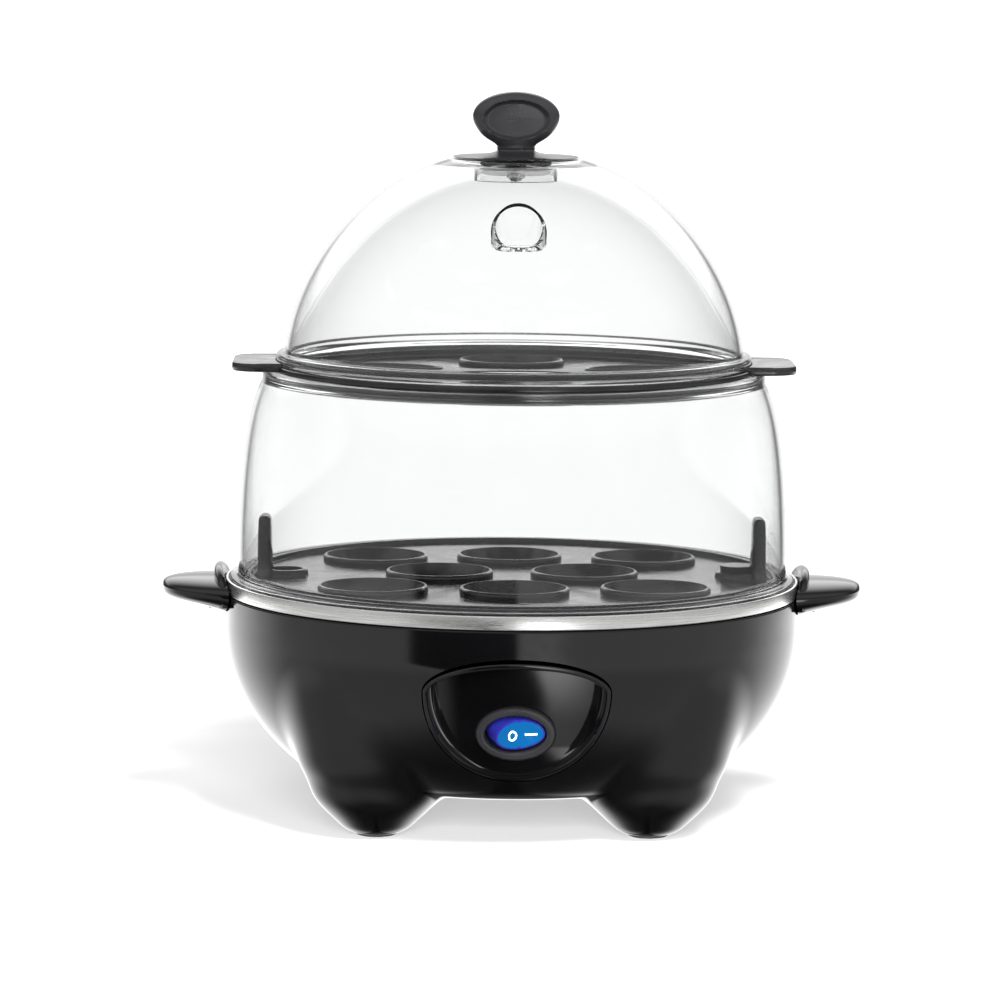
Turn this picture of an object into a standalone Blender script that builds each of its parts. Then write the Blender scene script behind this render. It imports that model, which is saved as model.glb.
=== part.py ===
"""Two-tier electric egg cooker, built as separate pieces that stack and screw together.

Metres, +Z up, with the front facing -Y. The origin is on the table, under the middle of the base.
The lengths below are in millimetres; the helpers turn them into metres with MM.
"""

import math

import bmesh
import bpy
from mathutils import Matrix, Vector

MM = 0.001

# Base: a bowl on four bulging legs
BOWL_R = 99.0            # outer radius at the waist and above it
BOWL_WAIST_Z = 66.0      # the bowl is straight above this height and rounds in below it
BOWL_DEPTH = 71.3        # depth of the ellipse that the bowl follows below its waist
BOWL_TOP_Z = 77.0        # shoulder that the rim of the heating dish stands over
BOWL_FLOOR_Z = 15.0      # underside, between the legs
BOWL_WALL = 2.5
SPIGOT_R = (95.0, 97.5)  # upstand that centres the dish
SPIGOT_TOP_Z = 78.2
LEG_WALL = 2.4
LEG_SECTIONS = (         # height, distance of the centre from both middle planes, radius
    (0.8, 46.0, 9.2),
    (5.0, 46.0, 13.8),
    (12.0, 46.0, 20.4),
    (20.0, 47.0, 23.0),
    (25.0, 48.5, 23.5),
    (32.0, 51.0, 23.0),
    (45.0, 56.0, 20.0),
    (58.0, 62.0, 9.0),
)
FOOT_XY = 46.0
FOOT_R = 7.0
FOOT_H = 3.0
SERVICE_OPENING_R = 30.0

# Cover under the base, held by three screws that reach into the heater's standoffs
COVER_R = 42.0
COVER_Z = (12.5, 14.7)
COVER_SCREW_CIRCLE_R = 36.5
COVER_SCREW_ANGLES = (30.0, 150.0, 270.0)
SCREW_HOLE_R = 1.9
SCREW_SHAFT_R = 1.5

# Recessed switch panel: a shield of two half ellipses on one width
SHIELD_HALF_WIDTH = 31.0
SHIELD_MIDDLE_Z = 56.0
SHIELD_TOP_RISE = 11.5
SHIELD_BOTTOM_DROP = 31.6
PANEL_WALL = 1.7
PANEL_THICKNESS = 2.0
FACE_TILT = 11.0         # degrees; the panel's face looks slightly down
FACE_BOTTOM_Y = -79.4    # the face at the shield's lowest point

# Rocker switch, on the panel's face
SWITCH_Z = 40.0
BEZEL_RADII = (13.4, 9.5)
SWITCH_BODY_RADII = (11.2, 7.2)
SWITCH_BODY_DEPTH = 13.5
SWITCH_CAVITY_RADII = (10.2, 6.2)
SWITCH_CAVITY_DEPTH = 9.0
ROCKER_PIVOT_DEPTH = 1.6
ROCKER_TILT = 18.0       # degrees each way; it is built switched on, right side in
ROCKER_PIN_R = 1.1
TERMINAL_PITCH = 6.0

# Side handles
HANDLE_CENTRE_R = 98.5
HANDLE_Z = 76.6
HANDLE_RADII = (22.0, 23.0, 5.2)
HANDLE_RIB_R = (99.5, 103.3)
HANDLE_RIB_Z = (73.0, 86.0)
HANDLE_RIB_HALF_ANGLE = 12.0
HANDLE_ROOT_R = (99.5, 105.5)
HANDLE_ROOT_Z = (70.2, 79.0)
HANDLE_ROOT_HALF_ANGLE = 9.1
HANDLE_SCREW_Y = 10.0
HANDLE_SCREW_Z = 73.2

# Heating dish and what lies under it
DISH_FLOOR_Z = 60.0
DISH_RIM_Z = 80.3
HEATER_R = 42.0
HEATER_Z = (53.2, 58.7)
ELEMENT_R = 28.0
ELEMENT_TUBE_R = 3.2
ELEMENT_Z = 49.6
ELEMENT_GAP_ANGLE = 24.0
STANDOFF_Z = (17.8, 52.9)

# Cord gland in the rear wall, square to the bowl
GLAND_Z = 40.0
GLAND_BORE_R = 3.8
GLAND_BODY_R = 5.6
GLAND_FLANGE_R = 7.4

# Lower egg tray, which rests on the dish's rim
LOWER_PLATE_Z = (80.6, 82.2)
LOWER_TRAY_R = 91.4
LOWER_CUPS = ((0, 44), (0, -44), (47.5, 40), (-47.5, 40), (47.5, -40), (-47.5, -40), (25, 0), (-25, 0))
POST_X = 85.0
POST_TOP_Z = 103.0
LOOP_X = 78.0
LOOP_R = (5.5, 7.5)

# Egg cups of both trays: a short collar round a tapered hole
CUP_COLLAR_R = 18.6
CUP_HOLE_R = (15.0, 17.4)
CUP_BELOW = 1.4
CUP_ABOVE = 2.2

# Clear steam chamber between the trays
CHAMBER_FOOT_Z = 80.6
CHAMBER_WALL_Z = (84.0, 149.0)
CHAMBER_FOOT_R = 94.6
CHAMBER_WALL = 1.8
CHAMBER_TOP_Z = 153.4

# Upper egg tray
UPPER_PLATE_Z = (150.0, 151.6)
UPPER_FLANGE_Z = (153.7, 155.7)
UPPER_FLANGE_R = 82.8
UPPER_CUPS = ((43, 0), (-43, 0), (0, 42), (0, -42))
TAB_R = 96.5
TAB_HALF_WIDTH = 20.0
TAB_Z = (154.0, 157.0)

# Clear lid
DOME_CENTRE_Z = 150.0
DOME_R = 79.6
DOME_WALL = 1.8
DOME_FLAT_R = 22.3
LID_FLANGE_R = 81.6
LID_FLANGE_Z = (156.0, 159.6)
LID_LIP_R = (75.8, 77.2)
LID_LIP_Z = 154.2
LID_CEILING_Z = 223.4
BOSS_R = (12.8, 14.2)
BOSS_BOTTOM_Z = 218.4
VENT_Y = -55.3
VENT_R = 7.8
VENT_CUP_R = 9.2
VENT_FLOOR_Z = (198.2, 199.7)
VENT_TOP_Z = 225.0       # above the lid where the vent is
VENT_CLEARANCE = 0.05
STEAM_HOLE_R = 3.2

# Knob and its fixings
KNOB_FOOT_Z = 226.7
KNOB_NECK_TOP_Z = 236.0
KNOB_HEAD_Z = 240.5
KNOB_HEAD_RADII = (14.85, 6.2, 8.7)
WASHER_R = 12.0
WASHER_Z = (222.2, 222.9)

ROUND_STEPS = 36         # sides of the large turned pieces
CUP_SIDES = 16           # sides of an egg cup
SMALL_SIDES = 12         # sides of screws, holes and other small round pieces

FRONT = Matrix.Rotation(math.radians(90), 4, "X")   # x stays, y becomes height, z points to the front

MATERIALS = {            # colour, roughness, metallic, alpha
    "gloss_black": ((0.010, 0.010, 0.011), 0.10, 0.0, 1.0),
    "satin_black": ((0.016, 0.016, 0.017), 0.38, 0.0, 1.0),
    "tray_black": ((0.012, 0.012, 0.013), 0.22, 0.0, 1.0),
    "clear_plastic": ((0.93, 0.94, 0.95), 0.04, 0.0, 0.25),
    "brushed_steel": ((0.62, 0.61, 0.60), 0.30, 1.0, 1.0),
    "cast_aluminium": ((0.55, 0.55, 0.56), 0.45, 1.0, 1.0),
    "zinc_plate": ((0.60, 0.61, 0.63), 0.28, 1.0, 1.0),
    "brass": ((0.72, 0.53, 0.22), 0.30, 1.0, 1.0),
    "grey_rubber": ((0.06, 0.06, 0.06), 0.75, 0.0, 1.0),
    "white_silicone": ((0.70, 0.69, 0.66), 0.60, 0.0, 1.0),
    "lit_blue": ((0.005, 0.20, 0.62), 0.18, 0.0, 1.0),
    "lamp_glass": ((0.55, 0.70, 0.90), 0.10, 0.0, 1.0),
    "cream_nylon": ((0.72, 0.68, 0.58), 0.50, 0.0, 1.0),
    "brown_wire": ((0.16, 0.06, 0.02), 0.50, 0.0, 1.0),
    "blue_wire": ((0.02, 0.07, 0.32), 0.50, 0.0, 1.0),
    "white_sleeve": ((0.75, 0.74, 0.70), 0.70, 0.0, 1.0),
}


# ---------------------------------------------------------------- scene and materials

def clear_scene():
    for old in list(bpy.data.objects):
        bpy.data.objects.remove(old, do_unlink=True)


def make_collection(name):
    collection = bpy.data.collections.new(name)
    bpy.context.scene.collection.children.link(collection)
    return collection


def make_material(name):
    colour, roughness, metallic, alpha = MATERIALS[name]
    material = bpy.data.materials.new(name)
    material.use_nodes = True
    shader = material.node_tree.nodes["Principled BSDF"]
    shader.inputs["Base Color"].default_value = (*colour, 1.0)
    shader.inputs["Roughness"].default_value = roughness
    shader.inputs["Metallic"].default_value = metallic
    shader.inputs["Alpha"].default_value = alpha
    return material


clear_scene()
PARTS = make_collection("egg_cooker")
CUTTERS = make_collection("egg_cooker_cutters")


def finish(piece, material, body=None):
    """Give a piece its own material and hang it from the empty of the body it moves with."""
    own = make_material(material)
    own.name = piece.name + "_" + material
    piece.data.materials.clear()
    piece.data.materials.append(own)
    if body is not None:
        piece.parent = body
        piece.matrix_parent_inverse = Matrix.Translation(body.location).inverted()
    return piece


def body_empty(name, x, y, z, parent=None):
    """An empty on the line along which, or about which, a group of pieces moves."""
    empty = bpy.data.objects.new(name, None)
    empty.empty_display_size = 20 * MM
    PARTS.objects.link(empty)
    location = Vector((x, y, z)) * MM
    empty.location = location
    if parent is not None:
        empty.parent = parent
        empty.matrix_parent_inverse = Matrix.Translation(parent.location).inverted()
    return empty


# ---------------------------------------------------------------- shapes

def link_piece(name, mesh, frame=None):
    piece = bpy.data.objects.new(name, mesh)
    PARTS.objects.link(piece)
    if frame is not None:
        piece.matrix_world = frame
    return piece


def shade(mesh, degrees=35):
    mesh.shade_smooth()
    mesh.set_sharp_from_angle(angle=math.radians(degrees))


def mesh_from(name, shape, frame=None):
    mesh = bpy.data.meshes.new(name)
    shape.to_mesh(mesh)
    shape.free()
    shade(mesh)
    return link_piece(name, mesh, frame)


def combine(piece, operation, *tools):
    """Add, cut or intersect other shapes with a piece; the tools move to the cutters' collection."""
    for tool in tools:
        step = piece.modifiers.new(tool.name, "BOOLEAN")
        step.operation = operation
        step.solver = "EXACT"
        step.object = tool
        if tool.name in PARTS.objects:
            PARTS.objects.unlink(tool)
            CUTTERS.objects.link(tool)
        tool.hide_render = True
        tool.display_type = "WIRE"
    return piece


def turned(name, profile, steps=ROUND_STEPS, frame=None):
    """Turn (radius, height) points about Z. They run outwards at the top and down the outer side."""
    mesh = bpy.data.meshes.new(name)
    points = [(radius * MM, 0.0, height * MM) for radius, height in profile]
    edges = [(index, index + 1) for index in range(len(points) - 1)]
    if profile[0][0] > 0:
        edges.append((len(points) - 1, 0))
    mesh.from_pydata(points, edges, [])
    piece = link_piece(name, mesh, frame)
    screw = piece.modifiers.new("turn", "SCREW")
    screw.steps = steps
    screw.render_steps = steps
    screw.use_merge_vertices = True
    screw.merge_threshold = 0.00001
    return piece


def curve_to_mesh(curve_object):
    """Replace a curve object with the mesh that it draws, its caps welded on."""
    bpy.context.view_layer.update()
    evaluated = curve_object.evaluated_get(bpy.context.evaluated_depsgraph_get())
    mesh = bpy.data.meshes.new_from_object(evaluated)
    shape = bmesh.new()
    shape.from_mesh(mesh)
    bmesh.ops.remove_doubles(shape, verts=shape.verts, dist=0.000001)
    shape.to_mesh(mesh)
    shape.free()
    shade(mesh)
    name = curve_object.name
    frame = curve_object.matrix_world.copy()
    bpy.data.objects.remove(curve_object, do_unlink=True)
    mesh.name = name
    return link_piece(name, mesh, frame)


def slab(name, outlines, low, high, frame=None):
    """A flat plate from height low to high; the first outline is its rim, and the rest are holes."""
    curve = bpy.data.curves.new(name, "CURVE")
    curve.dimensions = "2D"
    curve.fill_mode = "BOTH"
    curve.extrude = (high - low) / 2 * MM
    for outline in outlines:
        spline = curve.splines.new("POLY")
        spline.points.add(len(outline) - 1)
        for point, (x, y) in zip(spline.points, outline):
            point.co = (x * MM, y * MM, 0.0, 1.0)
        spline.use_cyclic_u = True
    lift = Matrix.Translation((0, 0, (low + high) / 2 * MM))
    return curve_to_mesh(link_piece(name, curve, (frame or Matrix.Identity(4)) @ lift))


def tube_curve(name, points, radii, bevel_resolution=2):
    """A round bar along points, with a radius at each of them."""
    curve = bpy.data.curves.new(name, "CURVE")
    curve.dimensions = "3D"
    curve.bevel_depth = MM
    curve.bevel_resolution = bevel_resolution
    curve.use_fill_caps = True
    spline = curve.splines.new("POLY")
    spline.points.add(len(points) - 1)
    for point, place, radius in zip(spline.points, points, radii):
        point.co = (*(Vector(place) * MM), 1.0)
        point.radius = radius
    return link_piece(name, curve)


def smooth_route(stops, samples=2):
    """Points of a smooth curve (Catmull-Rom) through the stops."""
    stops = [Vector(stop) for stop in stops]
    route = [stops[0]]
    for index in range(len(stops) - 1):
        before = stops[max(index - 1, 0)]
        start = stops[index]
        end = stops[index + 1]
        after = stops[min(index + 2, len(stops) - 1)]
        for step in range(1, samples + 1):
            t = step / samples
            bend = (2 * before - 5 * start + 4 * end - after) * t ** 2
            turn = (3 * start - before - 3 * end + after) * t ** 3
            route.append((2 * start + (end - before) * t + bend + turn) / 2)
    return route


def rod(name, radius, start, end, sides=SMALL_SIDES, end_radius=None, frame=None):
    """A cylinder from start to end, or a cone if its end has another radius."""
    start = Vector(start) * MM
    end = Vector(end) * MM
    along = end - start
    shape = bmesh.new()
    bmesh.ops.create_cone(
        shape,
        cap_ends=True,
        segments=sides,
        radius1=radius * MM,
        radius2=(radius if end_radius is None else end_radius) * MM,
        depth=along.length,
    )
    turn = Vector((0, 0, 1)).rotation_difference(along).to_matrix().to_4x4()
    place = (frame or Matrix.Identity(4)) @ Matrix.Translation((start + end) / 2) @ turn
    return mesh_from(name, shape, place)


def oval_taper(name, low_radii, high_radii, low, high, sides=24, frame=None):
    """An oval column that changes from one pair of radii to another over its height."""
    shape = bmesh.new()
    bmesh.ops.create_cone(shape, cap_ends=True, segments=sides, radius1=1, radius2=1, depth=2)
    for vertex in shape.verts:
        radii = high_radii if vertex.co.z > 0 else low_radii
        height = high if vertex.co.z > 0 else low
        vertex.co = Vector((vertex.co.x * radii[0], vertex.co.y * radii[1], height)) * MM
    return mesh_from(name, shape, frame)


def ball(name, radii, centre, segments=24, rings=12, frame=None):
    shape = bmesh.new()
    bmesh.ops.create_uvsphere(shape, u_segments=segments, v_segments=rings, radius=1.0)
    bmesh.ops.scale(shape, verts=shape.verts, vec=Vector(radii) * MM)
    place = (frame or Matrix.Identity(4)) @ Matrix.Translation(Vector(centre) * MM)
    return mesh_from(name, shape, place)


def block(name, low, high, frame=None):
    """A box from its lowest corner to its highest."""
    low = Vector(low) * MM
    high = Vector(high) * MM
    shape = bmesh.new()
    bmesh.ops.create_cube(shape, size=1.0)
    bmesh.ops.scale(shape, verts=shape.verts, vec=high - low)
    bmesh.ops.translate(shape, verts=shape.verts, vec=(low + high) / 2)
    return mesh_from(name, shape, frame)


def rounded(piece, width, segments=2):
    bevel = piece.modifiers.new("rounded edges", "BEVEL")
    bevel.width = width * MM
    bevel.segments = segments
    bevel.limit_method = "ANGLE"
    bevel.angle_limit = math.radians(50)
    return piece


def arc(radius_x, radius_y, start, end, steps, centre=(0.0, 0.0)):
    """Points on an oval arc, its angles in degrees; both ends are included."""
    points = []
    for index in range(steps + 1):
        angle = math.radians(start + (end - start) * index / steps)
        points.append((centre[0] + radius_x * math.cos(angle), centre[1] + radius_y * math.sin(angle)))
    return points


def oval(radius_x, radius_y, sides=24, centre=(0.0, 0.0)):
    return arc(radius_x, radius_y, 0, 360, sides, centre)[:-1]


def ring_sector(inner, outer, half_angle, steps=8):
    """Outline of a stretch of ring about +X."""
    outer_edge = arc(outer, outer, -half_angle, half_angle, steps)
    inner_edge = arc(inner, inner, half_angle, -half_angle, steps)
    return outer_edge + inner_edge


# ---------------------------------------------------------------- base

def bowl_radius(height, inset=0.0):
    """Radius of the bowl's wall at a height, or of a surface set in from it."""
    if height >= BOWL_WAIST_Z:
        return BOWL_R - inset
    drop = (BOWL_WAIST_Z - height) / (BOWL_DEPTH - inset)
    return (BOWL_R - inset) * math.sqrt(1 - drop ** 2)


def bowl_side(bottom, inset=0.0, steps=6):
    """Profile points down the bowl's rounded side, from its waist to a height."""
    points = []
    for index in range(steps + 1):
        height = BOWL_WAIST_Z + (bottom - BOWL_WAIST_Z) * index / steps
        points.append((bowl_radius(height, inset), height))
    return points


def face_y(height):
    """Y of the switch panel's face at a height."""
    shield_bottom = SHIELD_MIDDLE_Z - SHIELD_BOTTOM_DROP
    return FACE_BOTTOM_Y - (height - shield_bottom) * math.tan(math.radians(FACE_TILT))


# Frame of the switch: x to the right, y up the panel's face, z out of it
SWITCH_FRAME = (
    Matrix.Translation(Vector((0.0, face_y(SWITCH_Z), SWITCH_Z)) * MM)
    @ Matrix.Rotation(math.radians(90 + FACE_TILT), 4, "X")
)


def shield(margin=0.0, sides=32):
    """Outline of the switch panel seen from the front, grown by a margin."""
    width = SHIELD_HALF_WIDTH + margin
    centre = (0.0, SHIELD_MIDDLE_Z)
    top = arc(width, SHIELD_TOP_RISE + margin, 0, 180, sides // 2, centre)
    bottom = arc(width, SHIELD_BOTTOM_DROP + margin, 180, 360, sides // 2, centre)
    return top[:-1] + bottom[:-1]


def leg(name, side_x, side_y, inset=0.0, floor=None):
    """One bulging leg, or the space inside it."""
    sections = [section for section in LEG_SECTIONS if floor is None or section[0] > floor + 1]
    if floor is not None:
        sections.insert(0, (floor, LEG_SECTIONS[0][1], 14.2))
    points = [(side_x * offset, side_y * offset, height) for height, offset, radius in sections]
    radii = [radius - inset for height, offset, radius in sections]
    return curve_to_mesh(tube_curve(name, points, radii, 6 if floor is None else 5))


def gland_axis_point(depth):
    """A point on the cord gland's axis, a distance inwards from the bowl's surface."""
    radius = bowl_radius(GLAND_Z)
    slope = (BOWL_WAIST_Z - GLAND_Z) / BOWL_DEPTH ** 2 / (radius / BOWL_R ** 2)
    outward = Vector((0.0, 1.0, -slope)).normalized()
    return Vector((0.0, radius, GLAND_Z)) - outward * depth


def screw_circle_points():
    radius = COVER_SCREW_CIRCLE_R
    turns = [math.radians(angle) for angle in COVER_SCREW_ANGLES]
    return [(radius * math.cos(turn), radius * math.sin(turn)) for turn in turns]


def make_base_housing(body):
    outer = [(0, SPIGOT_TOP_Z), (SPIGOT_R[1], SPIGOT_TOP_Z), (SPIGOT_R[1], BOWL_TOP_Z), (BOWL_R, BOWL_TOP_Z)]
    outer += bowl_side(BOWL_FLOOR_Z) + [(0, BOWL_FLOOR_Z)]
    housing = turned("base_housing", outer)
    inner_top = BOWL_TOP_Z - 1.2
    inner = [(0, SPIGOT_TOP_Z + 1), (SPIGOT_R[0], SPIGOT_TOP_Z + 1), (SPIGOT_R[0], inner_top + 0.8)]
    inner += [(BOWL_R - BOWL_WALL, inner_top)]
    inner += bowl_side(BOWL_FLOOR_Z + BOWL_WALL, BOWL_WALL) + [(0, BOWL_FLOOR_Z + BOWL_WALL)]
    corners = [(1, 1), (-1, 1), (-1, -1), (1, -1)]
    for number, (side_x, side_y) in enumerate(corners, 1):
        combine(housing, "UNION", leg(f"leg_{number}", side_x, side_y))
    combine(housing, "DIFFERENCE", turned("bowl_space", inner))
    for number, (side_x, side_y) in enumerate(corners, 1):
        combine(housing, "DIFFERENCE", leg(f"leg_space_{number}", side_x, side_y, LEG_WALL, FOOT_H + 2.5))
        pad_place = (side_x * FOOT_XY, side_y * FOOT_XY)
        recess = rod(f"foot_recess_{number}", FOOT_R + 0.3, (*pad_place, -1), (*pad_place, FOOT_H + 0.3), 24)
        combine(housing, "DIFFERENCE", recess)
    floor_low = BOWL_FLOOR_Z - 2
    floor_high = BOWL_FLOOR_Z + BOWL_WALL + 2
    service_cut = rod("service_cut", SERVICE_OPENING_R, (0, 0, floor_low), (0, 0, floor_high), 32)
    combine(housing, "DIFFERENCE", service_cut)
    for number, (x, y) in enumerate(screw_circle_points(), 1):
        hole = rod(f"floor_screw_hole_{number}", SCREW_HOLE_R, (x, y, floor_low), (x, y, floor_high))
        combine(housing, "DIFFERENCE", hole)
    combine(housing, "DIFFERENCE", slab("panel_hole", [shield(0.3)], 60, 110, FRONT))
    gland_hole = rod("gland_hole", GLAND_BODY_R + 0.3, gland_axis_point(-8), gland_axis_point(12))
    combine(housing, "DIFFERENCE", gland_hole)
    for side in (-1, 1):
        for along in (-HANDLE_SCREW_Y, HANDLE_SCREW_Y):
            start = (side * 90, along, HANDLE_SCREW_Z)
            end = (side * 104, along, HANDLE_SCREW_Z)
            hole = rod(f"wall_screw_hole_{side}_{along:.0f}", SCREW_HOLE_R, start, end)
            combine(housing, "DIFFERENCE", hole)
    finish(housing, "gloss_black", body)


def make_foot_pads(body):
    places = [(1, 1, "rear_right"), (-1, 1, "rear_left"), (-1, -1, "front_left"), (1, -1, "front_right")]
    for side_x, side_y, place in places:
        x = side_x * FOOT_XY
        y = side_y * FOOT_XY
        finish(rod("foot_pad_" + place, FOOT_R, (x, y, 0), (x, y, FOOT_H), 24), "grey_rubber", body)


def make_bottom_cover(body):
    outlines = [oval(COVER_R, COVER_R, 32)]
    outlines += [oval(SCREW_HOLE_R, SCREW_HOLE_R, SMALL_SIDES, place) for place in screw_circle_points()]
    slot_half_length = 9.0
    slot_half_width = 1.5
    for angle in range(0, 360, 60):
        middle = Vector((18.0, 0.0))
        right = arc(slot_half_width, slot_half_width, -90, 90, 4, (middle.x + slot_half_length, 0))
        left = arc(slot_half_width, slot_half_width, 90, 270, 4, (middle.x - slot_half_length, 0))
        turn = Matrix.Rotation(math.radians(angle), 2)
        outlines.append([tuple(turn @ Vector(point)) for point in right + left])
    finish(slab("bottom_cover", outlines, *COVER_Z), "satin_black", body)


def make_cover_screws(body):
    head_z = (COVER_Z[0] - 2.0, COVER_Z[0] - 0.3)
    for number, (x, y) in enumerate(screw_circle_points(), 1):
        profile = [(0, 28), (SCREW_SHAFT_R, 28), (SCREW_SHAFT_R, head_z[1]), (3.2, head_z[1])]
        profile += [(3.0, head_z[0] + 0.5), (2.2, head_z[0]), (0, head_z[0])]
        place = Matrix.Translation(Vector((x, y, 0)) * MM)
        finish(turned(f"cover_screw_{number}", profile, 12, place), "zinc_plate", body)


def make_standoffs(body):
    for number, (x, y) in enumerate(screw_circle_points(), 1):
        post = rod(f"standoff_{number}", 3.6, (x, y, STANDOFF_Z[0]), (x, y, STANDOFF_Z[1]), 6)
        bore = rod(f"standoff_bore_{number}", 1.8, (x, y, STANDOFF_Z[0] - 1), (x, y, STANDOFF_Z[1] + 1))
        finish(combine(post, "DIFFERENCE", bore), "zinc_plate", body)


# ---------------------------------------------------------------- switch

def make_switch_panel(body):
    panel = slab("switch_panel", [shield()], 70, 110, FRONT)
    outer = [(0, BOWL_TOP_Z), (BOWL_R, BOWL_TOP_Z)] + bowl_side(BOWL_FLOOR_Z) + [(0, BOWL_FLOOR_Z)]
    combine(panel, "INTERSECT", turned("panel_skin", outer))
    tray = slab("panel_tray", [shield(-PANEL_WALL)], 60, 115, FRONT)
    combine(tray, "DIFFERENCE", block("panel_tray_back", (-60, -60, -60), (60, 60, 0), SWITCH_FRAME))
    back = block("panel_back", (-60, -60, -60), (60, 60, -PANEL_THICKNESS), SWITCH_FRAME)
    hole_radii = [radius + 0.3 for radius in SWITCH_BODY_RADII]
    hole = slab("panel_switch_hole", [oval(*hole_radii)], -10, 10, SWITCH_FRAME)
    combine(panel, "DIFFERENCE", tray, back, hole)
    finish(panel, "gloss_black", body)


def make_switch_frame(body):
    frame = slab("switch_frame", [oval(*BEZEL_RADII)], 0.3, 1.9, SWITCH_FRAME)
    rounded(frame, 0.6)
    housing = slab("switch_body", [oval(*SWITCH_BODY_RADII)], -SWITCH_BODY_DEPTH, 1.0, SWITCH_FRAME)
    cavity = slab("switch_cavity", [oval(*SWITCH_CAVITY_RADII)], -SWITCH_CAVITY_DEPTH, 3.0, SWITCH_FRAME)
    height = -ROCKER_PIVOT_DEPTH
    bearing = rod("rocker_bearing", ROCKER_PIN_R + 0.3, (0, -8, height), (0, 8, height), frame=SWITCH_FRAME)
    combine(frame, "UNION", housing)
    combine(frame, "DIFFERENCE", cavity, bearing)
    finish(frame, "satin_black", body)


def make_switch_rocker(body):
    pivot = Matrix.Translation((0, 0, -ROCKER_PIVOT_DEPTH * MM))
    place = SWITCH_FRAME @ pivot @ Matrix.Rotation(math.radians(ROCKER_TILT), 4, "Y")
    rocker = oval_taper("switch_rocker", (8.9, 5.7), (8.5, 4.4), -4.2, 5.2, 24, place)
    pin = rod("rocker_pin", ROCKER_PIN_R, (0, -6.9, 0), (0, 6.9, 0), frame=place)
    dish_r = 22.0
    dish = rod("rocker_dish", dish_r, (0, -9, 3.6 + dish_r), (0, 9, 3.6 + dish_r), 48, frame=place)
    hollow = oval_taper("rocker_hollow", (4.5, 3.2), (4.0, 2.8), -6.0, 1.5, 16, place)
    combine(rocker, "UNION", pin)
    combine(rocker, "DIFFERENCE", dish, hollow)
    finish(rocker, "lit_blue", body)


def make_switch_inside(body):
    lamp_foot = -SWITCH_CAVITY_DEPTH + 0.3
    lamp = rod("switch_lamp", 1.3, (0, 0, lamp_foot), (0, 0, lamp_foot + 5), frame=SWITCH_FRAME)
    finish(lamp, "lamp_glass", body)
    blade_front = -SWITCH_BODY_DEPTH - 0.3
    for number, offset in enumerate((-TERMINAL_PITCH, 0, TERMINAL_PITCH), 1):
        low = (offset - 0.4, -2.4, blade_front - 6)
        high = (offset + 0.4, 2.4, blade_front)
        finish(block(f"switch_terminal_{number}", low, high, SWITCH_FRAME), "brass", body)


# ---------------------------------------------------------------- handles

def make_side_handle(name, turn, body):
    frame = Matrix.Rotation(turn, 4, "Z")
    handle = ball(name, HANDLE_RADII, (HANDLE_CENTRE_R, 0, HANDLE_Z), 24, 10, frame)
    wall = rod(name + "_wall", BOWL_R + 0.4, (0, 0, 50), (0, 0, 100), ROUND_STEPS, frame=frame)
    rib = slab(name + "_rib", [ring_sector(*HANDLE_RIB_R, HANDLE_RIB_HALF_ANGLE)], *HANDLE_RIB_Z, frame)
    rounded(rib, 1.2)
    root = slab(name + "_root", [ring_sector(*HANDLE_ROOT_R, HANDLE_ROOT_HALF_ANGLE)], *HANDLE_ROOT_Z, frame)
    combine(handle, "DIFFERENCE", wall)
    combine(handle, "UNION", rib, root)
    for number, along in enumerate((-HANDLE_SCREW_Y, HANDLE_SCREW_Y), 1):
        start = (95, along, HANDLE_SCREW_Z)
        hole = rod(f"{name}_screw_hole_{number}", 1.8, start, (104.6, along, HANDLE_SCREW_Z), frame=frame)
        combine(handle, "DIFFERENCE", hole)
        screw_profile = [(0, 104.2), (SCREW_SHAFT_R, 104.2), (SCREW_SHAFT_R, 94.9), (2.4, 94.9), (2.4, 93.8)]
        screw_profile += [(1.8, 93.2), (0, 93.2)]
        place = Matrix.Translation(Vector((0, along, HANDLE_SCREW_Z)) * MM)
        axis = place @ Matrix.Rotation(math.pi / 2, 4, "Y")
        screw = turned(f"{name}_screw_{number}", screw_profile, 12, frame @ axis)
        finish(screw, "zinc_plate", body)
    finish(handle, "gloss_black", body)


# ---------------------------------------------------------------- heating

def make_heating_dish(body):
    edge = DISH_RIM_Z
    profile = [
        (0, DISH_FLOOR_Z), (76, DISH_FLOOR_Z), (80, DISH_FLOOR_Z + 1.2), (82.5, 64),
        (88.6, 78.6), (89.8, edge),
        (97.7, edge), (97.7, edge + 1.4), (98.0, edge + 1.7), (98.5, edge + 1.7), (98.8, edge + 1.4),
        (98.8, BOWL_TOP_Z + 0.3), (97.9, BOWL_TOP_Z + 0.3), (97.9, edge - 1), (90.2, edge - 1), (83.3, 63.6),
        (80.6, DISH_FLOOR_Z + 0.3), (76.2, DISH_FLOOR_Z - 1), (0, DISH_FLOOR_Z - 1),
    ]
    finish(turned("heating_dish", profile), "brushed_steel", body)


def make_rim_gasket(body):
    low = SPIGOT_TOP_Z + 0.3
    high = DISH_RIM_Z - 1.3
    profile = [(95.4, high), (97.1, high), (97.1, low), (95.4, low)]
    finish(turned("rim_gasket", profile), "white_silicone", body)


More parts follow.
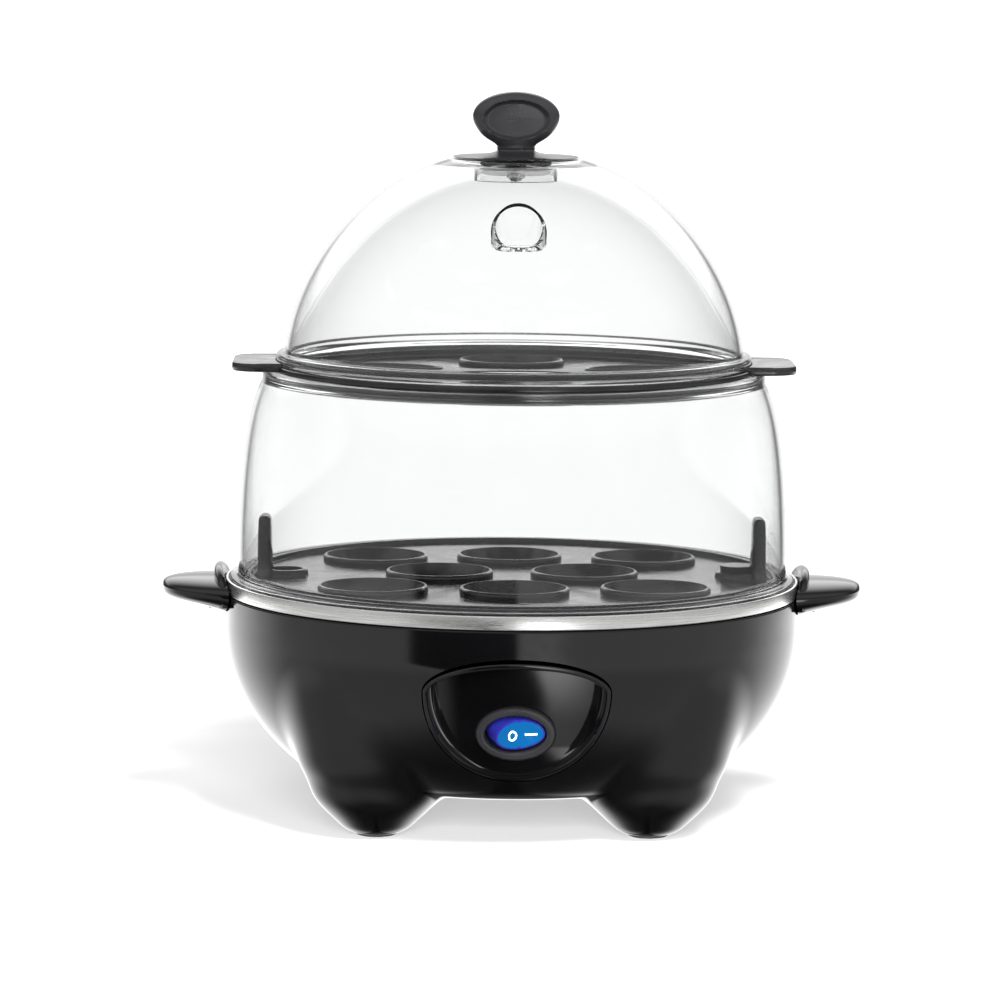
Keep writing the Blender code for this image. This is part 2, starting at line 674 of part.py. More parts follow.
def make_heater(body):
    low, high = HEATER_Z
    profile = [(0, high), (HEATER_R - 0.8, high), (HEATER_R, high - 0.8), (HEATER_R, low), (0, low)]
    finish(turned("heater_plate", profile, 24), "cast_aluminium", body)
    points = []
    start = 90 + ELEMENT_GAP_ANGLE / 2
    sweep = 360 - ELEMENT_GAP_ANGLE
    for index in range(17):
        angle = math.radians(start + sweep * index / 16)
        points.append((ELEMENT_R * math.cos(angle), ELEMENT_R * math.sin(angle), ELEMENT_Z))
    first = (points[0][0], points[0][1], ELEMENT_Z - 6)
    last = (points[-1][0], points[-1][1], ELEMENT_Z - 6)
    points = [first] + points + [last]
    finish(tube_curve("heating_element", points, [ELEMENT_TUBE_R] * len(points)), "cast_aluminium", body)


def make_thermostat(body):
    profile = [(0, 52.8), (8.5, 52.8), (8.5, 46.0), (6.5, 45.0), (6.5, 40.0), (0, 40.0)]
    finish(turned("thermostat", profile, 24), "cream_nylon", body)
    strap = [
        (-20.6, 52.9), (-20.6, 38.5), (20.6, 38.5), (20.6, 52.9),
        (19.4, 52.9), (19.4, 39.7), (-19.4, 39.7), (-19.4, 52.9),
    ]
    finish(slab("thermostat_clip", [strap], -4, 4, FRONT), "zinc_plate", body)
    finish(rod("thermal_fuse", 2.2, (-9, 16, 50.4), (9, 16, 50.4)), "white_sleeve", body)


def make_buzzer(body):
    profile = [(0, 24), (2, 24), (2, 26.8), (10.4, 26.8), (11, 26.2), (11, 17.8), (0, 17.8)]
    place = Matrix.Translation(Vector((-52, 0, 0)) * MM)
    finish(turned("buzzer", profile, 24, place), "satin_black", body)


def make_terminal_block(body):
    housing = block("terminal_block", (45, -14, 18), (59, 14, 28))
    for number, (x, y) in enumerate(((49, -8), (49, 8), (55, -8), (55, 8)), 1):
        combine(housing, "DIFFERENCE", rod(f"terminal_block_hole_{number}", 1.8, (x, y, 23), (x, y, 29)))
    finish(housing, "cream_nylon", body)


def make_cord_gland(body):
    gland = rod("cord_gland", GLAND_FLANGE_R, gland_axis_point(-1.9), gland_axis_point(-0.4), 24)
    neck = rod("gland_neck", GLAND_BODY_R, gland_axis_point(-1.0), gland_axis_point(14), 24)
    bore = rod("gland_bore", GLAND_BORE_R, gland_axis_point(-5), gland_axis_point(18), 16)
    combine(gland, "UNION", neck)
    combine(gland, "DIFFERENCE", bore)
    finish(gland, "grey_rubber", body)


def make_wires(body):
    switch_back = SWITCH_FRAME @ Vector((0, 0, -(SWITCH_BODY_DEPTH + 7.0) * MM)) / MM
    element_end = ELEMENT_R * math.sin(math.radians(ELEMENT_GAP_ANGLE / 2))
    element_y = ELEMENT_R * math.cos(math.radians(ELEMENT_GAP_ANGLE / 2))
    element_z = ELEMENT_Z - 6.5
    gland_end = gland_axis_point(14.6)
    routes = {
        "feed_wire": ("brown_wire", [
            (TERMINAL_PITCH, switch_back.y, switch_back.z), (9, -54, 43), (26, -46, 36), (44, -28, 34),
            (49, -10, 35), (49, -8, 32), (49, -8, 25),
        ]),
        "element_wire": ("white_sleeve", [
            (0, switch_back.y, switch_back.z), (-5, -53, 42), (-22, -34, 34), (-27, 0, 32), (-18, 24, 31),
            (-element_end, element_y, 36), (-element_end, element_y, element_z),
        ]),
        "return_wire": ("blue_wire", [
            (element_end, element_y, element_z), (element_end, element_y, 36), (20, 34, 32), (40, 24, 33),
            (49, 10, 35), (49, 8, 32), (49, 8, 25),
        ]),
        "live_wire": ("brown_wire", [
            (1.7, gland_end.y, gland_end.z), (9, 68, 46), (34, 52, 42), (60, 24, 40), (61, 2, 39),
            (55, -8, 34), (55, -8, 25),
        ]),
        "neutral_wire": ("blue_wire", [
            (-1.7, gland_end.y, gland_end.z), (3, 64, 42), (24, 46, 37), (50, 24, 37), (55, 10, 36),
            (55, 8, 32), (55, 8, 25),
        ]),
    }
    for name, (material, stops) in routes.items():
        points = smooth_route(stops)
        finish(tube_curve(name, points, [1.0] * len(points)), material, body)


# ---------------------------------------------------------------- trays

def add_cups(tray, places, plate_z):
    low = plate_z[0] - CUP_BELOW
    high = plate_z[1] + CUP_ABOVE
    for number, (x, y) in enumerate(places, 1):
        collar = rod(f"{tray.name}_collar_{number}", CUP_COLLAR_R, (x, y, low), (x, y, high), CUP_SIDES)
        combine(tray, "UNION", collar)
    for number, (x, y) in enumerate(places, 1):
        spread = (CUP_HOLE_R[1] - CUP_HOLE_R[0]) / (high - low)
        narrow = CUP_HOLE_R[0] - spread
        wide = CUP_HOLE_R[1] + spread
        start = (x, y, low - 1)
        end = (x, y, high + 1)
        combine(tray, "DIFFERENCE", rod(f"{tray.name}_hole_{number}", narrow, start, end, CUP_SIDES, wide))


def make_lower_tray(body):
    low, high = LOWER_PLATE_Z
    lip = LOWER_TRAY_R - 1.6
    profile = [
        (0, high), (lip, high), (lip, high + 1.8),
        (LOWER_TRAY_R, high + 1.8), (LOWER_TRAY_R, low), (0, low),
    ]
    tray = turned("lower_egg_tray", profile)
    for side in (-1, 1):
        name = "left" if side < 0 else "right"
        loop_place = (side * LOOP_X, 0)
        loop = rod("loop_" + name, LOOP_R[1], (*loop_place, low + 0.4), (*loop_place, high + 2.2), CUP_SIDES)
        combine(tray, "UNION", loop)
        post = block("post_" + name, (-2.6, -6, high - 1), (3.4, 6, POST_TOP_Z))
        post.matrix_world = Matrix.Translation((side * POST_X * MM, 0, 0))
        for vertex in post.data.vertices:
            if vertex.co.z > high * MM:
                vertex.co.x *= 0.45
                vertex.co.y *= 0.9
            vertex.co.x *= side
        if side < 0:
            post.data.flip_normals()
        combine(tray, "UNION", rounded(post, 0.8))
    add_cups(tray, LOWER_CUPS, LOWER_PLATE_Z)
    for side in (-1, 1):
        name = "left" if side < 0 else "right"
        loop_place = (side * LOOP_X, 0)
        hole = rod("loop_hole_" + name, LOOP_R[0], (*loop_place, low - 2), (*loop_place, high + 4), CUP_SIDES)
        combine(tray, "DIFFERENCE", hole)
    finish(tray, "tray_black", body)


def chamber_radius(height):
    """Outer radius of the steam chamber's gently bulging wall."""
    rise = (height - CHAMBER_WALL_Z[0]) / (CHAMBER_WALL_Z[1] - CHAMBER_WALL_Z[0])
    return CHAMBER_FOOT_R - 4.4 * rise ** 2 - 3.0 * rise ** 6


def make_steam_chamber(body):
    low, high = CHAMBER_WALL_Z
    steps = 5
    heights = [high + (low - high) * index / steps for index in range(steps + 1)]
    outer = [(chamber_radius(height), height) for height in heights]
    inner = [(radius - CHAMBER_WALL, height) for radius, height in reversed(outer)]
    flange = 97.3
    foot_inner = 92.2
    profile = [(79.8, CHAMBER_TOP_Z), (86.0, CHAMBER_TOP_Z), (86.4, CHAMBER_TOP_Z - 0.5), (86.4, high + 0.8)]
    profile += outer
    profile += [
        (95.2, 82.8), (flange, 82.8), (flange, CHAMBER_FOOT_Z),
        (foot_inner, CHAMBER_FOOT_Z), (foot_inner, 83),
    ]
    profile += inner + [(79.8, high + 1.5)]
    finish(turned("steam_chamber", profile), "clear_plastic", body)


def tab_outline(side):
    """A grip tab with round outer corners, from the tray's flange outwards."""
    corner = 9.0
    edge = TAB_HALF_WIDTH - corner
    upper = arc(corner, corner, 90, 0, 5, (TAB_R - corner, edge))
    lower = arc(corner, corner, 0, -90, 5, (TAB_R - corner, -edge))
    inner = LID_FLANGE_R + 0.4
    root = arc(inner, inner, -14, 14, 4)
    points = upper + lower + root
    return [(side * x, side * y) for x, y in points]


def make_upper_tray(body):
    plate_low, plate_high = UPPER_PLATE_Z
    flange_low, flange_high = UPPER_FLANGE_Z
    profile = [
        (0, plate_high), (77.6, plate_high), (77.6, flange_high), (UPPER_FLANGE_R, flange_high),
        (UPPER_FLANGE_R, flange_low), (79.3, flange_low), (79.3, plate_low), (0, plate_low),
    ]
    tray = turned("upper_egg_tray", profile)
    for side, name in ((-1, "tab_left"), (1, "tab_right")):
        combine(tray, "UNION", slab(name, [tab_outline(side)], *TAB_Z))
    add_cups(tray, UPPER_CUPS, UPPER_PLATE_Z)
    finish(tray, "tray_black", body)


# ---------------------------------------------------------------- lid

def dome_side(radius, high, low, steps=7):
    """Profile points down a sphere about the dome's centre, between two heights."""
    start = math.asin((high - DOME_CENTRE_Z) / radius)
    end = math.asin((low - DOME_CENTRE_Z) / radius)
    points = []
    for index in range(steps + 1):
        angle = start + (end - start) * index / steps
        points.append((radius * math.cos(angle), DOME_CENTRE_Z + radius * math.sin(angle)))
    return points


def dome_outline():
    """Profile of the lid's outside, closed across its lip."""
    top = DOME_CENTRE_Z + math.sqrt(DOME_R ** 2 - DOME_FLAT_R ** 2)
    flange_low, flange_high = LID_FLANGE_Z
    outline = [(0, top)] + dome_side(DOME_R, top, flange_high)
    outline += [(LID_FLANGE_R, flange_high), (LID_FLANGE_R, flange_low), (LID_LIP_R[1], flange_low)]
    outline += [(LID_LIP_R[1], LID_LIP_Z), (0, LID_LIP_Z)]
    return outline


def make_lid_dome(body):
    dome = turned("lid_dome", dome_outline())
    rim = LID_FLANGE_Z[0]
    inner = [
        (0, LID_CEILING_Z), (BOSS_R[0], LID_CEILING_Z),
        (BOSS_R[0], BOSS_BOTTOM_Z), (BOSS_R[1], BOSS_BOTTOM_Z),
    ]
    inner += [(BOSS_R[1], LID_CEILING_Z)] + dome_side(DOME_R - DOME_WALL, LID_CEILING_Z, rim + 2.2)
    inner += [(LID_LIP_R[0], rim + 1), (LID_LIP_R[0], LID_LIP_Z - 1), (0, LID_LIP_Z - 1)]
    vent_seat = rod("vent_seat", VENT_CUP_R + VENT_CLEARANCE, (0, VENT_Y, 190), (0, VENT_Y, VENT_TOP_Z), 20)
    screw_hole = rod("lid_screw_hole", 2.4, (0, 0, 215), (0, 0, 230))
    combine(dome, "DIFFERENCE", turned("lid_space", inner), vent_seat, screw_hole)
    finish(dome, "clear_plastic", body)


def make_vent_cup(body):
    """The steam vent: a small cup set into the front of the lid, flush with its outside."""
    floor_low, floor_high = VENT_FLOOR_Z
    cup = rod("vent_cup", VENT_CUP_R, (0, VENT_Y, floor_low), (0, VENT_Y, VENT_TOP_Z), 20)
    combine(cup, "INTERSECT", turned("vent_limit", dome_outline()))
    pocket = rod("vent_pocket", VENT_R, (0, VENT_Y, floor_high), (0, VENT_Y, VENT_TOP_Z), 20)
    steam_hole = rod("steam_hole", STEAM_HOLE_R, (0, VENT_Y, 190), (0, VENT_Y, 205), 16)
    combine(cup, "DIFFERENCE", pocket, steam_hole)
    finish(cup, "clear_plastic", body)


def make_lid_knob(body):
    foot = KNOB_FOOT_Z
    profile = [
        (0, foot + 5.3), (5.6, foot + 5.3), (6.6, foot + 3.6), (9.5, foot + 2.4), (15, foot + 1.6),
        (20.6, foot + 1.1), (21.5, foot + 0.5), (21.5, foot), (0, foot),
    ]
    knob = turned("lid_knob", profile, 24)
    neck = oval_taper("knob_neck", (7.2, 5.0), (6.4, 4.2), foot + 1, KNOB_NECK_TOP_Z, 20)
    head = ball("knob_head", KNOB_HEAD_RADII, (0, 0, KNOB_HEAD_Z), 20, 10)
    combine(knob, "UNION", neck, head)
    for side in (-1, 1):
        thumb = ball(f"thumb_dish_{side}", (11.5, 4.0, 6.6), (0, side * 7.4, KNOB_HEAD_Z + 0.5), 16, 8)
        combine(knob, "DIFFERENCE", thumb)
    combine(knob, "DIFFERENCE", rod("knob_bore", 2.0, (0, 0, foot - 2), (0, 0, foot + 8.3)))
    finish(knob, "satin_black", body)


def make_knob_fixings(body):
    low, high = WASHER_Z
    washer = turned("knob_washer", [(2, high), (WASHER_R, high), (WASHER_R, low), (2, low)], 24)
    finish(washer, "satin_black", body)
    head_top = low - 0.3
    profile = [
        (0, 234), (1.6, 234), (1.6, head_top),
        (3.2, head_top), (3.0, head_top - 1.4), (2.0, head_top - 2.3),
    ]
    profile += [(0, head_top - 2.3)]
    finish(turned("knob_screw", profile, 16), "zinc_plate", body)


def main():
    base = body_empty("base", 0, 0, 0)
    pivot = SWITCH_FRAME @ Vector((0, 0, -ROCKER_PIVOT_DEPTH * MM)) / MM
    rocker = body_empty("rocker_pivot", *pivot, base)
    lower_tray = body_empty("lower_tray_lift", 0, 0, LOWER_PLATE_Z[0], base)
    chamber = body_empty("steam_chamber_lift", 0, 0, CHAMBER_FOOT_Z, lower_tray)
    upper_tray = body_empty("upper_tray_lift", 0, 0, UPPER_FLANGE_Z[0], chamber)
    lid = body_empty("lid_lift", 0, 0, LID_FLANGE_Z[0], upper_tray)
    make_base_housing(base)
    make_foot_pads(base)
    make_bottom_cover(base)
    make_cover_screws(base)
    make_standoffs(base)
    make_switch_panel(base)
    make_switch_frame(base)
    make_switch_inside(base)
    make_switch_rocker(rocker)
    make_side_handle("side_handle_right", 0.0, base)
    make_side_handle("side_handle_left", math.pi, base)
    make_heating_dish(base)
    make_rim_gasket(base)
    make_heater(base)
    make_thermostat(base)
    make_buzzer(base)
    make_terminal_block(base)
    make_cord_gland(base)
    make_wires(base)
    make_lower_tray(lower_tray)
    make_steam_chamber(chamber)
    make_upper_tray(upper_tray)
    make_lid_dome(lid)
    make_vent_cup(lid)
    make_lid_knob(lid)
    make_knob_fixings(lid)


main()
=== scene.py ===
"""Looks of the two-tier egg cooker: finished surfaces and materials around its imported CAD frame.

The frame is in metres. Lengths below are in millimetres, and MM turns them into metres.
"""

import math

import bmesh
import bpy
import numpy as np
from mathutils import Matrix, Vector


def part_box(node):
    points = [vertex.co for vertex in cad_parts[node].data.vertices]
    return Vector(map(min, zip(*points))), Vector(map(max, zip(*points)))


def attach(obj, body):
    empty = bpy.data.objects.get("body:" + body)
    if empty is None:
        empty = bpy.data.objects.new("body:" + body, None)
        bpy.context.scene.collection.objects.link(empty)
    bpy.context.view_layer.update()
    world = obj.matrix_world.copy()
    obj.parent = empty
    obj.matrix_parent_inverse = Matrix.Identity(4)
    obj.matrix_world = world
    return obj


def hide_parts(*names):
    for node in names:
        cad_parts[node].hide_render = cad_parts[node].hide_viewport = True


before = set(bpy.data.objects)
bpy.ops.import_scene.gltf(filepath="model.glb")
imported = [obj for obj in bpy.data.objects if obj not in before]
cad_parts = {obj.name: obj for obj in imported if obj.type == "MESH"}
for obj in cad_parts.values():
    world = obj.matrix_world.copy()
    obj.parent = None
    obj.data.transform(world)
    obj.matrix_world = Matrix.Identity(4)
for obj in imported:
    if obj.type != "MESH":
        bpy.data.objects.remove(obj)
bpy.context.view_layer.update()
MM = 0.001


def low_corner(node):
    """A CAD node's lowest corner, in millimetres."""
    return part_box(node)[0] / MM


def high_corner(node):
    """A CAD node's highest corner, in millimetres."""
    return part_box(node)[1] / MM


# ---- sizes, from the frame where it has them

BOWL_R = high_corner("base_housing").x
LEG_FOOT_Z = low_corner("base_housing").z
SPIGOT_TOP_Z = high_corner("base_housing").z
BOWL_TOP_Z = SPIGOT_TOP_Z - 1.2
BOWL_WAIST_Z = 66.0          # the bowl is straight above this height
BOWL_DEPTH = 71.3
BOWL_FLOOR_Z = 15.0
BOWL_WALL = 2.5
SERVICE_OPENING_R = 30.0
FEET = tuple((x, y) for x in (-46, 46) for y in (-46, 46))
COVER_SCREW_R = 36.5
LEG_SECTIONS = (             # height, distance of the centre from both middle planes, radius
    (0.8, 46.0, 9.2),
    (5.0, 46.0, 13.8),
    (12.0, 46.0, 20.4),
    (20.0, 47.0, 23.0),
    (25.0, 48.5, 23.5),
    (32.0, 50.6, 22.6),
    (45.0, 55.0, 18.4),
    (56.0, 58.7, 12.0),
    (66.0, 60.0, 4.0),
)
LEG_BLEND = 7.0              # width of the soft valley between a leg and the bowl

SHIELD_HALF_WIDTH = high_corner("switch_panel").x
SHIELD_MIDDLE_Z = 56.0
SHIELD_TOP_RISE = high_corner("switch_panel").z - SHIELD_MIDDLE_Z
SHIELD_BOTTOM_DROP = SHIELD_MIDDLE_Z - low_corner("switch_panel").z
FACE_TILT = 11.0             # degrees; the switch panel's face looks slightly down
GRIP_HALF_WIDTH = 22.6
FACE_BOTTOM_Y = -79.4
SWITCH_Z = 41.0
SWITCH_HOLE_RADII = (11.5, 7.5)
ROCKER_RADII = (8.3, 4.85)
CAP_RADII = (8.0, 4.55)
ROCKER_FACE = 3.55           # the lowest point of the dished face, above the pivot
ROCKER_PIVOT_DEPTH = 1.6
ROCKER_TILT = 18.0

DISH_R = high_corner("heating_dish").x
DISH_TOP_Z = high_corner("heating_dish").z
DISH_SKIRT_Z = BOWL_TOP_Z + 0.3
LOWER_PLATE_Z = 80.6
PLATE_THICKNESS = 1.6
LOWER_TRAY_R = high_corner("lower_egg_tray").x
POST_TOP_Z = high_corner("lower_egg_tray").z
POST_X = 85.0
LOOP_X = 78.0
LOWER_CUPS = ((0, 44), (0, -44), (47.5, 40), (-47.5, 40), (47.5, -40), (-47.5, -40), (25, 0), (-25, 0))
UPPER_CUPS = ((43, 0), (-43, 0), (0, 42), (0, -42))
CHAMBER_FOOT_Z = low_corner("steam_chamber").z
CHAMBER_TOP_Z = high_corner("steam_chamber").z
CHAMBER_FLANGE_R = high_corner("steam_chamber").x
UPPER_PLATE_Z = 150.0
TAB_R = high_corner("upper_egg_tray").x
LID_LIP_Z = low_corner("lid_dome").z
LID_TOP_Z = high_corner("lid_dome").z
LID_FLANGE_R = high_corner("lid_dome").x
DOME_CENTRE_Z = 150.0
DOME_R = 79.6
VENT_Y = -55.3
CLEAR_WALL = 1.8             # thickness of the chamber and of the lid
KNOB_FOOT_Z = low_corner("lid_knob").z
KNOB_TOP_Z = high_corner("lid_knob").z


# ---- mesh tools

def skin(name, rings, loop=False):
    """A closed surface through rings of points in millimetres; a ring of one point closes an end."""
    vertices = []
    starts = []
    for ring in rings:
        starts.append(len(vertices))
        vertices.extend(tuple(float(value) * MM for value in point) for point in ring)
    faces = []
    pairs = [(index, index + 1) for index in range(len(rings) - 1)]
    if loop:
        pairs.append((len(rings) - 1, 0))
    for a, b in pairs:
        count = max(len(rings[a]), len(rings[b]))
        for step in range(count):
            after = (step + 1) % count
            if len(rings[a]) == 1:
                faces.append((starts[a], starts[b] + step, starts[b] + after))
            elif len(rings[b]) == 1:
                faces.append((starts[a] + step, starts[b], starts[a] + after))
            else:
                faces.append((starts[a] + step, starts[b] + step, starts[b] + after, starts[a] + after))
    if not loop:
        for end in (0, -1):
            if len(rings[end]) > 1:
                faces.append(tuple(starts[end] + step for step in range(len(rings[end]))))
    mesh = bpy.data.meshes.new(name)
    mesh.from_pydata(vertices, [], faces)
    shape = bmesh.new()
    shape.from_mesh(mesh)
    bmesh.ops.recalc_face_normals(shape, faces=shape.faces)
    shape.to_mesh(mesh)
    shape.free()
    return link(name, mesh)


def link(name, mesh):
    piece = bpy.data.objects.new(name, mesh)
    bpy.context.scene.collection.objects.link(piece)
    return piece


def boolean(piece, operation, *tools):
    """Join, cut or intersect with other shapes, and keep only the result."""
    for tool in tools:
        step = piece.modifiers.new(tool.name, "BOOLEAN")
        step.operation = operation
        step.solver = "EXACT"
        step.object = tool
    bpy.context.view_layer.update()
    evaluated = piece.evaluated_get(bpy.context.evaluated_depsgraph_get())
    result = bpy.data.meshes.new_from_object(evaluated)
    old = piece.data
    piece.modifiers.clear()
    piece.data = result
    bpy.data.meshes.remove(old)
    for tool in tools:
        bpy.data.objects.remove(tool, do_unlink=True)
    return piece


def joined(name, pieces):
    """One object of several that don't touch."""
    shape = bmesh.new()
    for piece in pieces:
        start = len(shape.verts)
        shape.from_mesh(piece.data)
        shape.verts.ensure_lookup_table()
        bmesh.ops.transform(shape, matrix=piece.matrix_world, verts=shape.verts[start:])
        bpy.data.objects.remove(piece, do_unlink=True)
    mesh = bpy.data.meshes.new(name)
    shape.to_mesh(mesh)
    shape.free()
    return link(name, mesh)


def placed(piece, matrix):
    """Move a piece's mesh itself, so that its object stays at the origin."""
    piece.data.transform(matrix)
    if matrix.determinant() < 0:
        piece.data.flip_normals()
    return piece


def softened(corners, closed=False, steps=4):
    """Profile points from (radius, height, rounding) corners, each rounded by a short curve."""
    points = []
    count = len(corners)
    for index, (radius, height, rounding) in enumerate(corners):
        here = Vector((radius, height))
        if rounding == 0 or (not closed and index in (0, count - 1)):
            points.append(tuple(here))
            continue
        before = Vector(corners[index - 1][:2])
        after = Vector(corners[(index + 1) % count][:2])
        start = here + (before - here).normalized() * min(rounding, (before - here).length * 0.48)
        end = here + (after - here).normalized() * min(rounding, (after - here).length * 0.48)
        for step in range(steps + 1):
            t = step / steps
            points.append(tuple(start * (1 - t) ** 2 + here * 2 * t * (1 - t) + end * t ** 2))
    return points


def angles_round(count):
    return np.arange(count) * (2 * math.pi / count)


def circle(radius, height, count, centre=(0.0, 0.0)):
    angles = angles_round(count)
    ring = np.empty((count, 3))
    ring[:, 0] = centre[0] + radius * np.cos(angles)
    ring[:, 1] = centre[1] + radius * np.sin(angles)
    ring[:, 2] = height
    return ring


def oval_ring(half_x, half_y, height, count, power=2.0):
    """A level outline between an oval (power 2) and a rounded rectangle (higher powers)."""
    angles = angles_round(count)
    ring = np.empty((count, 3))
    ring[:, 0] = half_x * np.sign(np.cos(angles)) * np.abs(np.cos(angles)) ** (2 / power)
    ring[:, 1] = half_y * np.sign(np.sin(angles)) * np.abs(np.sin(angles)) ** (2 / power)
    ring[:, 2] = height
    return ring


def arc(centre_x, centre_y, radius, first, last, steps=16):
    """Points on a level arc, from one angle to another in degrees."""
    angles = [math.radians(first + (last - first) * step / steps) for step in range(steps + 1)]
    return [(centre_x + radius * math.cos(angle), centre_y + radius * math.sin(angle)) for angle in angles]


def lathe(name, corners, closed=False, count=128, centre=(0.0, 0.0), steps=4):
    """Turn a rounded profile about a vertical axis; closed profiles make rings."""
    rings = []
    for radius, height in softened(corners, closed, steps):
        if radius < 1e-6:
            rings.append([(centre[0], centre[1], height)])
        else:
            rings.append(circle(radius, height, count, centre))
    return skin(name, rings, loop=closed)


def oval_lathe(name, corners, closed=False, count=96):
    """Like lathe, but each corner is (radius along X, radius along Y, height, rounding)."""
    along_x = softened([(corner[0], corner[2], corner[3]) for corner in corners], closed)
    along_y = softened([(corner[1], corner[2], corner[3]) for corner in corners], closed)
    rings = []
    for (radius_x, height), (radius_y, _) in zip(along_x, along_y):
        if radius_x < 1e-6:
            rings.append([(0.0, 0.0, height)])
        else:
            rings.append(oval_ring(radius_x, radius_y, height, count))
    return skin(name, rings, loop=closed)


def rod(name, radius, start, end, count=32):
    """A plain round bar, for cutting holes."""
    start = Vector(start)
    along = Vector(end) - start
    rings = [circle(radius, 0.0, count), circle(radius, along.length, count)]
    turn = Vector((0, 0, 1)).rotation_difference(along).to_matrix().to_4x4()
    return placed(skin(name, rings), Matrix.Translation(start * MM) @ turn)


def show(piece, body, material, *nodes, slot=None, degrees=32):
    """Finish a piece: smooth it, give it its material, tie it to its body, and hide the CAD nodes it stands
    in for.
    """
    piece.data.shade_smooth()
    piece.data.set_sharp_from_angle(angle=math.radians(degrees))
    piece.data.materials.clear()
    piece.data.materials.append(material)
    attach(piece, body)
    if nodes:
        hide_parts(*nodes)
    return piece


# ---- materials

class Graph:
    """A node tree built one socket at a time."""

    def __init__(self, tree):
        self.nodes = tree.nodes
        self.links = tree.links

    def math(self, operation, *values):
        node = self.nodes.new("ShaderNodeMath")
        node.operation = operation
        for socket, value in zip(node.inputs, values):
            if isinstance(value, (int, float)):
                socket.default_value = value
            else:
                self.links.new(value, socket)
        return node.outputs[0]

    def spread(self, source, low, high, start=0.3, end=0.7, shape="LINEAR"):
        """Map a range, by default a noise's usual one, to other limits."""
        node = self.nodes.new("ShaderNodeMapRange")
        node.interpolation_type = shape
        for socket, value in zip(("From Min", "From Max", "To Min", "To Max"), (start, end, low, high)):
            node.inputs[socket].default_value = value
        self.links.new(source, node.inputs["Value"])
        return node.outputs["Result"]

    def mixed(self, share, first, second, output):
        """Put two shaders, mixed by a share, into an output."""
        mix = self.nodes.new("ShaderNodeMixShader")
        for source, socket in zip((share, first, second), mix.inputs):
            self.links.new(source, socket)
        self.links.new(mix.outputs[0], output.inputs["Surface"])


class Surface(Graph):
    """A Principled material with procedural detail."""

    def __init__(self, name, colour, roughness, metallic=0.0):
        self.material = bpy.data.materials.new(name)
        self.material.use_nodes = True
        super().__init__(self.material.node_tree)
        self.shader = self.nodes["Principled BSDF"]
        self.colour = colour
        self.set("Base Color", (*colour, 1.0))
        self.set("Roughness", roughness)
        self.set("Metallic", metallic)
        self.place = self.nodes.new("ShaderNodeTexCoord").outputs["Object"]

    def set(self, socket, value):
        self.shader.inputs[socket].default_value = value

    def noise(self, scale, detail=3.0, place=None, rough=0.5):
        """Noise with a scale in features per metre."""
        node = self.nodes.new("ShaderNodeTexNoise")
        node.inputs["Scale"].default_value = scale
        node.inputs["Detail"].default_value = detail
        node.inputs["Roughness"].default_value = rough
        self.links.new(place or self.place, node.inputs["Vector"])
        return node.outputs["Fac"]

    def turned_place(self, around, across):
        """Coordinates for marks that run round the Z axis: stretched round, fine across."""
        split = self.nodes.new("ShaderNodeSeparateXYZ")
        self.links.new(self.place, split.inputs[0])
        x, y, z = split.outputs
        squares = self.math("ADD", self.math("MULTIPLY", x, x), self.math("MULTIPLY", y, y))
        join = self.nodes.new("ShaderNodeCombineXYZ")
        for source, scale, socket in zip(
            (self.math("ARCTAN2", y, x), self.math("SQRT", squares), z), (around, across, across), join.inputs
        ):
            self.links.new(self.math("MULTIPLY", source, scale), socket)
        return join.outputs[0]

    def drive(self, socket, source):
        self.links.new(source, self.shader.inputs[socket])

    def roughen(self, source, low, high):
        self.drive("Roughness", self.spread(source, low, high))

    def tint(self, source, other, most=1.0, start=0.3, end=0.7):
        """Vary the colour between the main one and another."""
        mix = self.nodes.new("ShaderNodeMix")
        mix.data_type = "RGBA"
        self.links.new(self.spread(source, 0.0, most, start, end), mix.inputs["Factor"])
        mix.inputs["A"].default_value = (*self.colour, 1.0)
        mix.inputs["B"].default_value = (*other, 1.0)
        self.drive("Base Color", mix.outputs["Result"])

    def bump(self, source, height, strength=1.0):
        """Raise the surface by source; height is in metres."""
        node = self.nodes.new("ShaderNodeBump")
        node.inputs["Strength"].default_value = strength
        node.inputs["Distance"].default_value = height
        self.links.new(source, node.inputs["Height"])
        self.drive("Normal", node.outputs["Normal"])

    def let_light_through(self, tint):
        """Let lamps shine through the clear plastic without a dark shadow."""
        clear = self.nodes.new("ShaderNodeBsdfTransparent")
        clear.inputs["Color"].default_value = (*tint, 1.0)
        shadow = self.nodes.new("ShaderNodeLightPath").outputs["Is Shadow Ray"]
        self.mixed(shadow, self.shader.outputs[0], clear.outputs[0], self.nodes["Material Output"])


def gloss_black(name):
    """Polished black plastic: faint smears in the shine and a very slight moulded waviness."""
    surface = Surface(name, (0.0008, 0.0008, 0.0009), 0.07)
    surface.roughen(surface.noise(38, 5, rough=0.62), 0.045, 0.115)
    surface.tint(surface.noise(16, 2), (0.0015, 0.0014, 0.0016))
    surface.bump(surface.noise(55, 2), 0.00006, 0.35)
    return surface.material


def satin_black(name, grain=2600.0):
    """Fine-grained black plastic."""
    surface = Surface(name, (0.0060, 0.0060, 0.0065), 0.28)
    surface.roughen(surface.noise(70, 4), 0.24, 0.36)
    surface.tint(surface.noise(45, 3), (0.0095, 0.0095, 0.0105))
    surface.bump(surface.noise(grain, 2), 0.00003, 0.5)
    return surface.material


def tray_black(name):
    """Semi-gloss black plastic with light scuffs from eggs and washing."""
    surface = Surface(name, (0.0030, 0.0029, 0.0031), 0.12)
    surface.roughen(surface.noise(120, 6, rough=0.7), 0.10, 0.24)
    surface.tint(surface.noise(60, 4), (0.0070, 0.0069, 0.0073), 1.0, 0.45, 0.75)
    surface.bump(surface.noise(90, 2), 0.00005, 0.3)
    return surface.material


